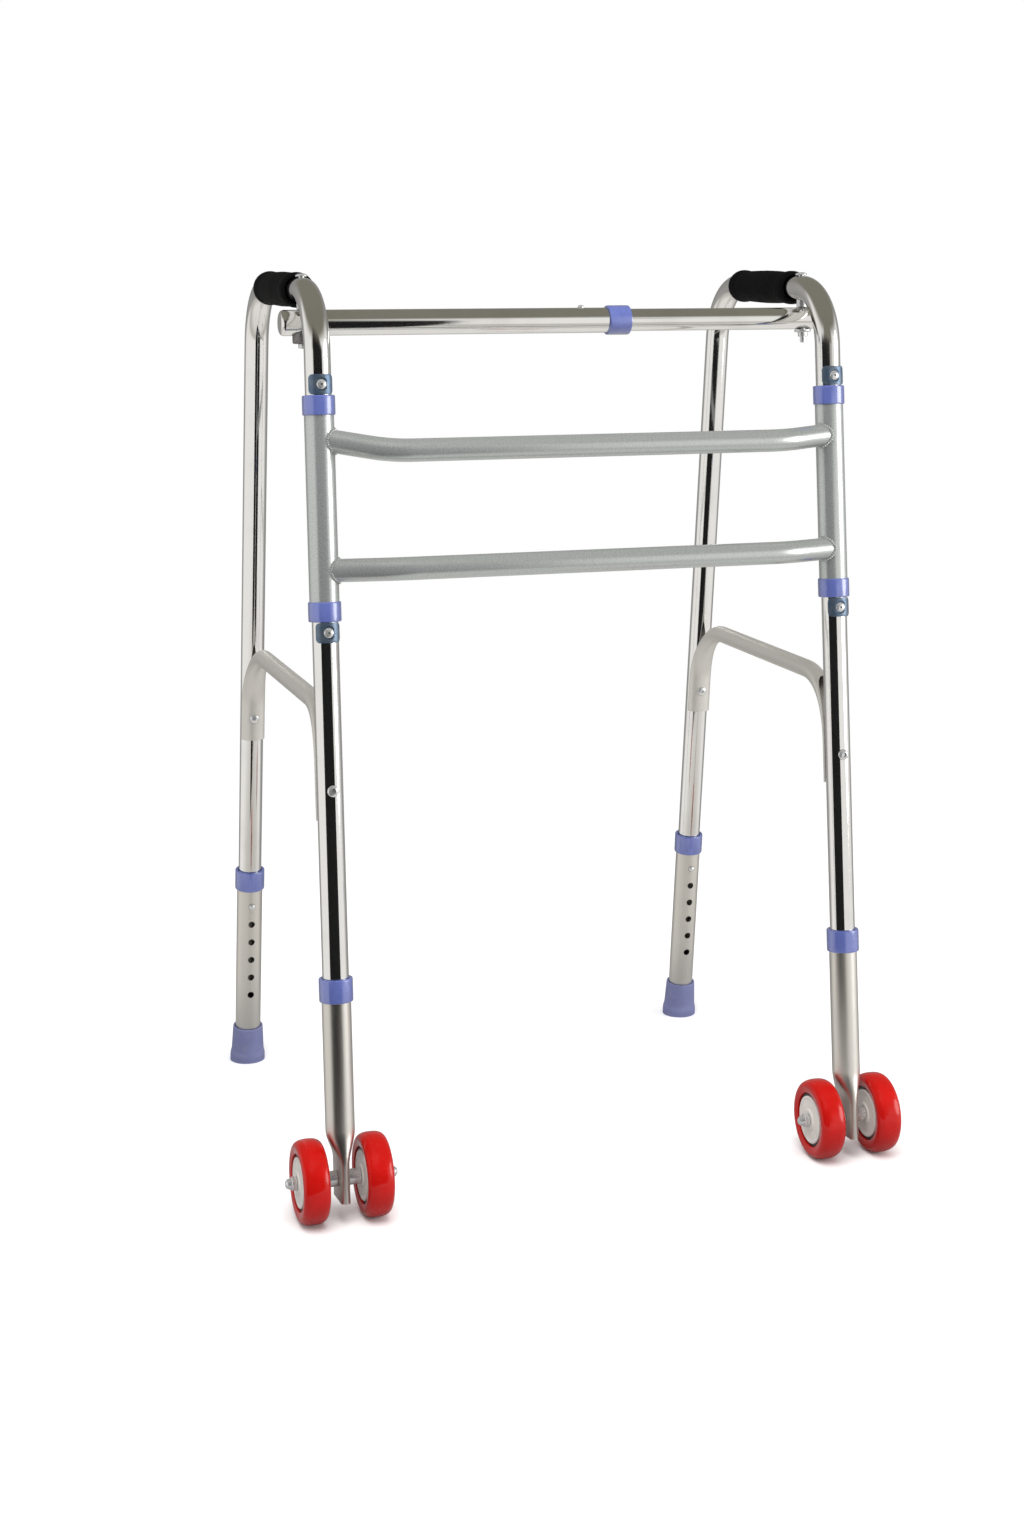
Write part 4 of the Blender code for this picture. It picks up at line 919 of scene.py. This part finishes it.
for side in SIDES:
    for level, height in (("upper", UPPER_PLATE_MIDDLE), ("lower", LOWER_PLATE_MIDDLE)):
        node = f"{side}_{level}_stop_plate"
        middle = on_front(side, height)
        mesh = plate_mesh(middle, TUBE_RADIUS + GAP + PLATE_THICKNESS)
        if mesh.polygons[0].normal.dot(mesh.polygons[0].center - middle) < 0:
            mesh.flip_normals()
        plate = shown(node + "_fine", mesh, BLUE_ZINC)
        wall = plate.modifiers.new("wall", "SOLIDIFY")
        wall.thickness, wall.offset = PLATE_THICKNESS, -1.0
        face = middle - FRONT_BACK * PLATE_FACE
        cut(plate, rod("seat", face, face - FRONT_BACK * 0.004, SEAT_RADIUS))
        edge = plate.modifiers.new("edge", "BEVEL")
        edge.width, edge.segments, edge.limit_method = PLATE_EDGE, 2, "ANGLE"
        stand_for(shown(node + "_fine", settled(plate).data, BLUE_ZINC), node)
        bpy.data.objects.remove(plate, do_unlink=True)

# %% [markdown]
# Two kinds of fastener hold the side frames: a domed head with a round hole in its middle, and a
# cross-head screw, whose recess is cut by two crossed wedges. Each is modelled once, and a tree
# sets a copy on each point that has a facing.

# %% The two heads
SHANK_RADIUS = 0.0020
SHANK = 0.0050
HEAD_RIM = 0.0007
WEDGE_TIP, WEDGE_TOP, WEDGE_DEPTH = 0.0006, 0.0038, 0.0034
WEDGE_MIDDLE = 0.0024
WEDGE_WIDTH = 0.36
WEDGE_TURN = 0.6


def domed_head(radius, height, hole, depth):
    """A head that curves down from its hole to its rim, on a plain shank."""
    head = [(0.0, height - depth), (hole, height - depth)] if hole else [(0.0, height)]
    start = math.asin(hole / radius)
    for k in range(9):
        turn = start + (math.pi / 2 - start) * k / 8
        head.append((radius * math.sin(turn), HEAD_RIM + (height - HEAD_RIM) * math.cos(turn)))
    head += [(radius, 0.0), (SHANK_RADIUS, 0.0), (SHANK_RADIUS, -SHANK), (0.0, -SHANK)]
    return shown("head", lathe("head", head, Vector(), Vector((0.0, 0.0, 1.0)), 48), BRIGHT_ZINC)


def cross_head(radius, height):
    piece = domed_head(radius, height, 0.0, 0.0)
    for turn in (0.0, math.pi / 2):
        work = bmesh.new()
        middle = Matrix.Translation((0.0, 0.0, WEDGE_MIDDLE)) @ Matrix.Rotation(math.pi / 4, 4, "Z")
        bmesh.ops.create_cone(work, cap_ends=True, segments=4, radius1=WEDGE_TIP, radius2=WEDGE_TOP,
                              depth=WEDGE_DEPTH, matrix=middle)
        bmesh.ops.scale(work, vec=(1.0, WEDGE_WIDTH, 1.0), verts=work.verts)
        bmesh.ops.rotate(work, cent=(0.0, 0.0, 0.0), matrix=Matrix.Rotation(turn + WEDGE_TURN, 3, "Z"),
                         verts=work.verts)
        cut(piece, shown("wedge", closed_mesh(work, "wedge"), BRIGHT_ZINC))
    return piece


screws_on_points = Tree("screws_on_points", {"Screw": "Object"})
facing = screws_on_points.node("GeometryNodeInputNamedAttribute", {"data_type": "FLOAT_VECTOR"},
                               {"Name": "facing"})
one_screw = screws_on_points.node("GeometryNodeObjectInfo", {},
                                  {"Object": screws_on_points.given("Screw")}, output="Geometry")
screws_on_points.finish(screws_on_points.copies(screws_on_points.given("Geometry"), one_screw, facing))

# %% Fasteners of the side frames
BRACE_SCREW_HEIGHT = 0.4100


def fasten(name, pattern, seats, nodes):
    """A copy of the pattern on each seat, given as a point and a facing."""
    source = polyline("seats", [point for point, _ in seats])
    source.data.attributes.new("facing", "FLOAT_VECTOR", "POINT").data.foreach_set(
        "vector", [number for _, way in seats for number in way])
    stand_for(grown(name, screws_on_points, source, BRIGHT_ZINC, Screw=pattern), *nodes)
    print(name, "from", len(seats), "points")


plate_rivet = domed_head(0.0048, 0.0027, 0.0012, 0.0022)
brace_rivet = domed_head(0.0055, 0.0032, 0.0026, 0.0026)
rear_screw = cross_head(0.0050, 0.0024)
for side in SIDES:
    plates = [(on_front(side, middle) - FRONT_BACK * PLATE_FACE, -FRONT_BACK)
              for middle in (UPPER_PLATE_MIDDLE, LOWER_PLATE_MIDDLE)]
    fasten(side + "_plate_rivets_fine", plate_rivet, plates,
           (side + "_upper_stop_screw", side + "_lower_stop_screw"))
    front = (on_front(side, BRACE_SCREW_HEIGHT) - FRONT_BACK * TUBE_RADIUS, -FRONT_BACK)
    fasten(side + "_brace_rivet_fine", brace_rivet, [front], (side + "_brace_front_screw",))
    rear = (on_rear(side, BRACE_SCREW_HEIGHT) + REAR_FRONT * (SADDLE_OFFSET + SADDLE_DEPTH), REAR_FRONT)
    fasten(side + "_rear_screw_fine", rear_screw, [rear], (side + "_brace_rear_screw",))
for pattern in (plate_rivet, brace_rivet, rear_screw):
    bpy.data.objects.remove(pattern, do_unlink=True)

# %% [markdown]
# The crossbar is two tubes, one inside the other, so the frame can fold. Its ends are closed and
# domed, and a bolt through each hand rail holds it below the rail.

# %% Crossbar
BAR_LEFT_END = -0.0232
BAR_RIGHT_END = 0.0134
BAR_OUTER_LENGTH = 0.3416
BAR_OVERLAP = 0.1530
LEG_SPACING = CORNER["right"].x - CORNER["left"].x
BAR_WALL = 0.0010
END_DOME = 0.0042
COLLAR_CUP = 0.0047


def closed_bar(radius, length):
    end = [(0.0, 0.0), (0.55 * radius, 0.0001)]
    for k in range(1, 8):
        turn = math.pi / 2 * k / 7
        end.append((radius - END_DOME * (1 - math.sin(turn)), END_DOME * (1 - math.cos(turn))))
    bore = radius - BAR_WALL
    return end + [(radius, length), (bore, length), (bore, END_DOME), (0.0, 0.0030)]


left_end = PIVOT + ACROSS * BAR_LEFT_END
right_end = PIVOT + ACROSS * (LEG_SPACING + BAR_RIGHT_END)
collar_at = PIVOT + ACROSS * (BAR_LEFT_END + BAR_OUTER_LENGTH)
turned("crossbar_outer_tube", closed_bar(TUBE_RADIUS, BAR_OUTER_LENGTH), left_end, ACROSS, CHROME, 0.0002)
turned("crossbar_inner_tube", closed_bar(INNER_BAR_RADIUS, (right_end - collar_at).length + BAR_OVERLAP),
       right_end, -ACROSS, CHROME, 0.0002)
turned("crossbar_collar", ring_profile(BAR_COLLAR_RADIUS, INNER_BAR_RADIUS + GAP, BAR_COLLAR_LENGTH),
       collar_at - ACROSS * COLLAR_CUP, ACROSS, BLUE_PLASTIC, 0.0013, closed=True)

# %% [markdown]
# Five snap buttons lock the telescoping tubes. Each is a small domed pin.

# %% Snap buttons
BUTTON_RADIUS = 0.0034
BUTTON_REACH = 0.0028
BUTTON_DOME = 0.0020
BUTTON_ROOT = 0.0045
BAR_BUTTON_BACK = 0.0315


def button(node, spot, facing, surface):
    outline = dome(BUTTON_RADIUS, surface + BUTTON_REACH, BUTTON_DOME)
    outline += [(BUTTON_RADIUS, surface - BUTTON_ROOT), (0.0, surface - BUTTON_ROOT)]
    turned(node, outline, spot, facing, BRIGHT_ZINC, 0.0001, 40)


for side in SIDES:
    button(side + "_front_button", on_front(side, BUTTON_HEIGHTS["front"]), FRONT_BACK, LOWER_RADIUS)
    button(side + "_rear_button", on_rear(side, BUTTON_HEIGHTS["rear"]), REAR_FRONT, LOWER_RADIUS)
button("crossbar_button", collar_at - ACROSS * BAR_BUTTON_BACK, FRONT_UP, TUBE_RADIUS)

# %% [markdown]
# The pivot hardware: a round-headed bolt on top of each rail, a saddle spacer between rail and
# bar, and a washer and nut below. The right pivot is the open one, so its bolt ends above the
# bar and the nut's stub goes with the bar.

# %% Pivot hardware
BOLT_RADIUS = 0.0030
BOLT_HEAD_RADIUS = 0.0060
BOLT_HEAD_HEIGHT = 0.0030
BOLT_HEAD_DROP = 0.0022
BOLT_TOP = TUBE_RADIUS / FRONT_UP.z + 0.0006
BOLT_TAIL = 0.0250
NUT_DROP = 0.0078
NUT_HEIGHT = 0.0040
NUT_RADIUS = 0.0050
SPACER_RADIUS = 0.0056
BAR_LEVEL = (CORNER["left"].z - PIVOT.z) / FRONT_UP.z
PIVOT_LINE = {side: Vector((CORNER[side].x, PIVOT.y, PIVOT.z)) + FRONT_UP * BAR_LEVEL
              for side in SIDES}


def pivot_bolt(side, below):
    """A bolt whose round head stands on the rail, with what is below the head."""
    head = dome(BOLT_HEAD_RADIUS, BOLT_TOP + BOLT_HEAD_HEIGHT, BOLT_HEAD_DROP)
    whole = head + [(BOLT_HEAD_RADIUS, BOLT_TOP), (BOLT_RADIUS, BOLT_TOP)] + below
    turned(side + "_pivot_bolt", whole, PIVOT_LINE[side], FRONT_UP, BRIGHT_ZINC, 0.0002, 40)


under = -BAR_LEVEL - TUBE_RADIUS - NUT_DROP
tail = -BAR_LEVEL - BOLT_TAIL
stub = -BAR_LEVEL + INNER_BAR_RADIUS + 1.5 * GAP
pivot_bolt("left", [(BOLT_RADIUS, under), (NUT_RADIUS, under), (NUT_RADIUS, under - NUT_HEIGHT),
                    (BOLT_RADIUS, under - NUT_HEIGHT), (BOLT_RADIUS, tail), (0.0, tail)])
pivot_bolt("right", [(BOLT_RADIUS, stub), (0.0, stub)])
for side, bar_radius in (("left", TUBE_RADIUS), ("right", INNER_BAR_RADIUS)):
    low, high = bar_radius + GAP - BAR_LEVEL, 0.0030 - TUBE_RADIUS
    ring = pipe(SPACER_RADIUS, BOLT_RADIUS + GAP, high, low)
    spacer = turned(side + "_pivot_spacer", ring, PIVOT_LINE[side], FRONT_UP, BRIGHT_ZINC, 0.0003,
                    closed=True)
    along = Vector((0.0, 0.03, 0.0))
    cut(spacer, rod("rail_cut", PIVOT_LINE[side] - along, PIVOT_LINE[side] + along, TUBE_RADIUS + GAP))

# %% Washer and open nut
WASHER_RADIUS = 0.0105
washer = [(WASHER_RADIUS, -0.0070), (WASHER_RADIUS, -0.0192), (WASHER_RADIUS - 0.0010, -0.0202),
          (BOLT_RADIUS + GAP, -0.0202), (BOLT_RADIUS + GAP, -0.0070)]
piece = turned("left_pivot_washer", washer, PIVOT, FRONT_UP, DULL_ZINC, 0.0005, closed=True)
cut(piece, rod("bar_cut", PIVOT - ACROSS * 0.03, PIVOT + ACROSS * 0.03, TUBE_RADIUS + 0.0001))
flange = -INNER_BAR_RADIUS - GAP
nut = [(0.0, INNER_BAR_RADIUS - GAP), (BOLT_RADIUS, INNER_BAR_RADIUS - GAP), (BOLT_RADIUS, flange),
       (0.0085, flange), (0.0085, flange - 0.0022), (NUT_RADIUS, flange - 0.0030),
       (NUT_RADIUS, flange - 0.0072), (BOLT_RADIUS, flange - 0.0072), (BOLT_RADIUS, -BOLT_TAIL),
       (0.0, -BOLT_TAIL)]
turned("right_pivot_nut", nut, PIVOT + ACROSS * LEG_SPACING, FRONT_UP, BRIGHT_ZINC, 0.0003, 40)

# %% [markdown]
# Two wheels run on each front axle, one on each side of the flattened leg. A tyre is a glossy
# ring with round shoulders. Its hub is a pale dished disc in a near-black core ring, sunk in a
# shallow groove; the ring's dark colour also paints that groove's shade. The axle ends in cap nuts.

# %% Wheels
WHEEL_RADIUS = 0.0400
WHEEL_HALF = 0.0130
RIM_RADIUS = 0.0270
HUB_RADIUS = 0.0238
SHOULDER = 0.0325
CORE_HALF = 0.0100
tyre_half = [(RIM_RADIUS, WHEEL_HALF - 0.0010)]
for k in range(9):
    turn = math.pi / 2 * k / 9
    tyre_half.append((SHOULDER + (WHEEL_RADIUS - SHOULDER) * math.sin(turn) ** 0.8,
                      WHEEL_HALF * math.cos(turn) ** 0.8))
tyre_profile = both_ways(tyre_half, [(WHEEL_RADIUS, 0.0)])
core_profile = both_ways([(RIM_RADIUS - GAP, CORE_HALF), (HUB_RADIUS + 0.0002, CORE_HALF)])
disc_profile = both_ways([(0.0044, 0.0128), (0.0100, 0.0128), (0.0112, 0.0116), (0.0200, 0.0112),
                          (0.0220, 0.0118), (HUB_RADIUS, 0.0116), (HUB_RADIUS, 0.0080)])
for side in SIDES:
    for which in ("outer", "inner"):
        middle = Vector(JOINTS[f"{side}_{which}_wheel_spin"]["pos_m"])
        for piece, profile, material, ease, suffix in (
                ("tyre", tyre_profile, RED_TYRE, 0.0008, "fine"),
                ("hub", disc_profile, HUB_PLASTIC, 0.0005, "fine"),
                ("hub", core_profile, DARK_CORE_AND_GROOVE_SHADE, 0.0003, "core")):
            turned(f"{side}_{which}_{piece}", profile, middle, ACROSS, material, ease, 96,
                   closed=True, suffix=suffix)
print("wheel centres:", [tuple(round(v, 4) for v in JOINTS["left_outer_wheel_spin"]["pos_m"])])

# %% Axles
AXLE_RADIUS = 0.0040
AXLE_END = 0.0548
NUT_SEAT = 0.0441
for side in SIDES:
    whole = both_ways([(0.0, AXLE_END), (0.0028, AXLE_END - 0.0003), (0.0046, AXLE_END - 0.0020),
                       (0.0054, AXLE_END - 0.0050), (0.0054, AXLE_END - 0.0056),
                       (0.0066, AXLE_END - 0.0062), (0.0066, NUT_SEAT), (AXLE_RADIUS, NUT_SEAT),
                       (AXLE_RADIUS, 0.0179), (0.0075, 0.0179), (0.0075, 0.0048),
                       (AXLE_RADIUS, 0.0048)])
    turned(side + "_axle", whole, on_front(side, WHEEL_RADIUS), ACROSS, BRIGHT_ZINC, 0.0003, 48)

# %% [markdown]
# The picture is taken from the height of the grips, in front and to the left, with the lens
# shifted down a little. The frame is taken as 1024 by 1520.

# %% Camera
PICTURE = (1024.0, 1520.0)
FOCAL = 2313.2
CENTRE = (516.3, 501.7)
SENSOR = 36.0
lens = bpy.data.cameras.new("portrait")
lens.sensor_width = SENSOR
lens.lens = FOCAL * SENSOR / PICTURE[1]
lens.shift_x = (PICTURE[0] / 2 - CENTRE[0]) / PICTURE[1]
lens.shift_y = -(PICTURE[1] / 2 - CENTRE[1]) / PICTURE[1]
camera = placed("portrait", lens)
camera.location = (-0.7541, -2.3000, 0.9167)
camera.rotation_euler = (math.pi / 2 - 0.1065, 0.0, -0.3092)
bpy.context.scene.camera = camera
print("lens", round(lens.lens, 2), "mm, shift", round(lens.shift_x, 4), round(lens.shift_y, 4))


# %% [markdown]
# Chrome shows the room, so the room is part of the finish. The world is white where the camera
# sees it. Mirrors see a studio: it is dark where the camera stands, with a bright wall to
# each side and a gray one behind the object. That draws a dark line down the middle of each tube
# between two white ones, and a gray line along its edges. The ceiling is a warm gray.

# %% Studio world
WALLS = ((0.00, 0.98), (0.50, 0.98), (0.54, 0.40), (0.62, 0.30), (0.78, 0.30), (0.86, 0.42),
         (0.89, 0.98), (1.00, 0.98))
CEILING = (0.235, 0.225, 0.185, 1.0)
NEAR_PAPER = (0.60, 0.58, 0.54, 1.0)
FAR_PAPER = (0.90, 0.88, 0.85, 1.0)
ROOM_LIGHT = (0.72, 0.72, 0.72, 1.0)
WHITE = (1.0, 1.0, 1.0, 1.0)
world = bpy.data.worlds.new("studio")
world.use_nodes = True
bpy.context.scene.world = world
room = Nodes(world.node_tree)
room.tree.nodes.clear()
way = room.node("ShaderNodeTexCoord", output="Generated")
split = room.node("ShaderNodeSeparateXYZ", {}, {"Vector": way})
east, north, height = (split.beside(axis) for axis in "XYZ")
angle = room.node("ShaderNodeMath", {"operation": "ARCTAN2"}, {0: north, 1: east})
bearing = angle * (1 / math.tau) + 0.5
walls = room.node("ShaderNodeValToRGB", {}, {"Fac": bearing})
ramp = walls.socket.node.color_ramp
while len(ramp.elements) < len(WALLS):
    ramp.elements.new(0.5)
for stop, (place, level) in zip(ramp.elements, WALLS):
    stop.position = place
    stop.color = (level, level * 0.985, level * 0.96, 1.0)
to_the_side = room.mask(bearing, 0.07, 0.12) * room.mask(bearing, 0.32, 0.27)
lowered = to_the_side * room.mask(height, 0.08, 0.20)
overhead = room.node("ShaderNodeMath", {"operation": "MAXIMUM"},
                     {0: room.mask(height, 0.26, 0.58), 1: lowered})
roofed = room.mix(overhead, walls, CEILING)
paper_seen = room.mix(room.mask(height, -0.50, -0.80), NEAR_PAPER, FAR_PAPER)
studio = room.mix(room.mask(height, -0.34, -0.50), roofed, paper_seen)
rays = room.node("ShaderNodeLightPath", output="Is Camera Ray")
unseen = room.mix(rays.beside("Is Glossy Ray"), ROOM_LIGHT, studio)
light = room.node("ShaderNodeBackground", {},
                  {"Color": room.mix(rays, unseen, WHITE), "Strength": 1.0})
room.feed(room.tree.nodes.new("ShaderNodeOutputWorld").inputs["Surface"], light)

# %% [markdown]
# Two soft lamps shape the paint and the plastic: a wide one from the upper left, and a weaker
# one from the right.


# %% Lamps
def lamp(name, spot, size, power, mirrored):
    light = bpy.data.lights.new(name, "AREA")
    light.shape, light.size, light.energy = "DISK", size, power
    holder = placed(name, light)
    holder.location = spot
    aim = Vector((0.0, 0.0, 0.45)) - Vector(spot)
    holder.rotation_euler = aim.to_track_quat("-Z", "Y").to_euler()
    holder.visible_glossy = mirrored


lamp("key", (-0.6, -1.5, 2.8), 2.2, 56.0, False)
lamp("fill", (2.6, -1.55, 0.90), 1.7, 34.0, True)
print("lamps: key and fill")

# %% [markdown]
# A black card stands near the front on the left, where only mirrors see it. It draws the dark
# line down each leg, and it fades out at the top, where the hand rails bend over.

# %% The black card
CARD_LEFT, CARD_RIGHT = (-0.445, -0.315), (0.20, -0.96)
CARD_FADE, CARD_TOP = 0.90, 1.10


def sheet(name, corners):
    mesh = bpy.data.meshes.new(name)
    mesh.from_pydata(corners, [], [(0, 1, 2, 3)])
    return placed(name, mesh)


card = sheet("card", [(*CARD_LEFT, 0.0), (*CARD_RIGHT, 0.0), (*CARD_RIGHT, CARD_TOP),
                      (*CARD_LEFT, CARD_TOP)])
card.visible_camera = card.visible_diffuse = card.visible_shadow = card.visible_transmission = False
black = Finish("black_card", (0.02, 0.02, 0.02), 0.9, gloss=0.0)
card.data.materials.append(black.material)
place = black.node("ShaderNodeTexCoord", output="Object")
level = black.node("ShaderNodeSeparateXYZ", {}, {"Vector": place}, output="Z")
clear = black.node("ShaderNodeBsdfTransparent")
black.show(black.fade(black.mask(level, CARD_FADE, CARD_TOP), black.body, clear))

# %% [markdown]
# The floor is white paper. Near the object it keeps a soft shadow, and further out it fades into
# the white of the background. Mirrors see it only from close by, and the studio's paper beyond.

# %% Floor
PAPER_WHITE = 1.10
FLOOR_REACH = 8.0
FADE_FROM, FADE_TO = 0.9, 1.9
MIRROR_FROM, MIRROR_TO = 0.12, 0.30
floor = sheet("floor", [(-FLOOR_REACH, -FLOOR_REACH, 0.0), (FLOOR_REACH, -FLOOR_REACH, 0.0),
                        (FLOOR_REACH, FLOOR_REACH, 0.0), (-FLOOR_REACH, FLOOR_REACH, 0.0)])
paper = Finish("paper", (0.45, 0.45, 0.45), 0.9)
floor.data.materials.append(paper.material)
place = paper.node("ShaderNodeTexCoord", output="Object")
distance = paper.node("ShaderNodeVectorMath", {"operation": "LENGTH"}, {0: place}, output="Value")
rays = paper.node("ShaderNodeLightPath", output="Is Camera Ray")
bright = paper.node("ShaderNodeBsdfDiffuse", {}, {"Color": shade(WHITE[:3], PAPER_WHITE)})
near = paper.fade(rays, paper.body, bright)
glow = paper.node("ShaderNodeEmission", {}, {"Color": WHITE, "Strength": 1.0})
blend = paper.fade(rays * paper.mask(distance, FADE_FROM, FADE_TO), near, glow)
away = paper.mask(rays.beside("Ray Length"), MIRROR_FROM, MIRROR_TO)
clear = paper.node("ShaderNodeBsdfTransparent")
paper.show(paper.fade(rays.beside("Is Glossy Ray") * away, blend, clear))
bpy.context.scene.view_settings.view_transform = "Standard"
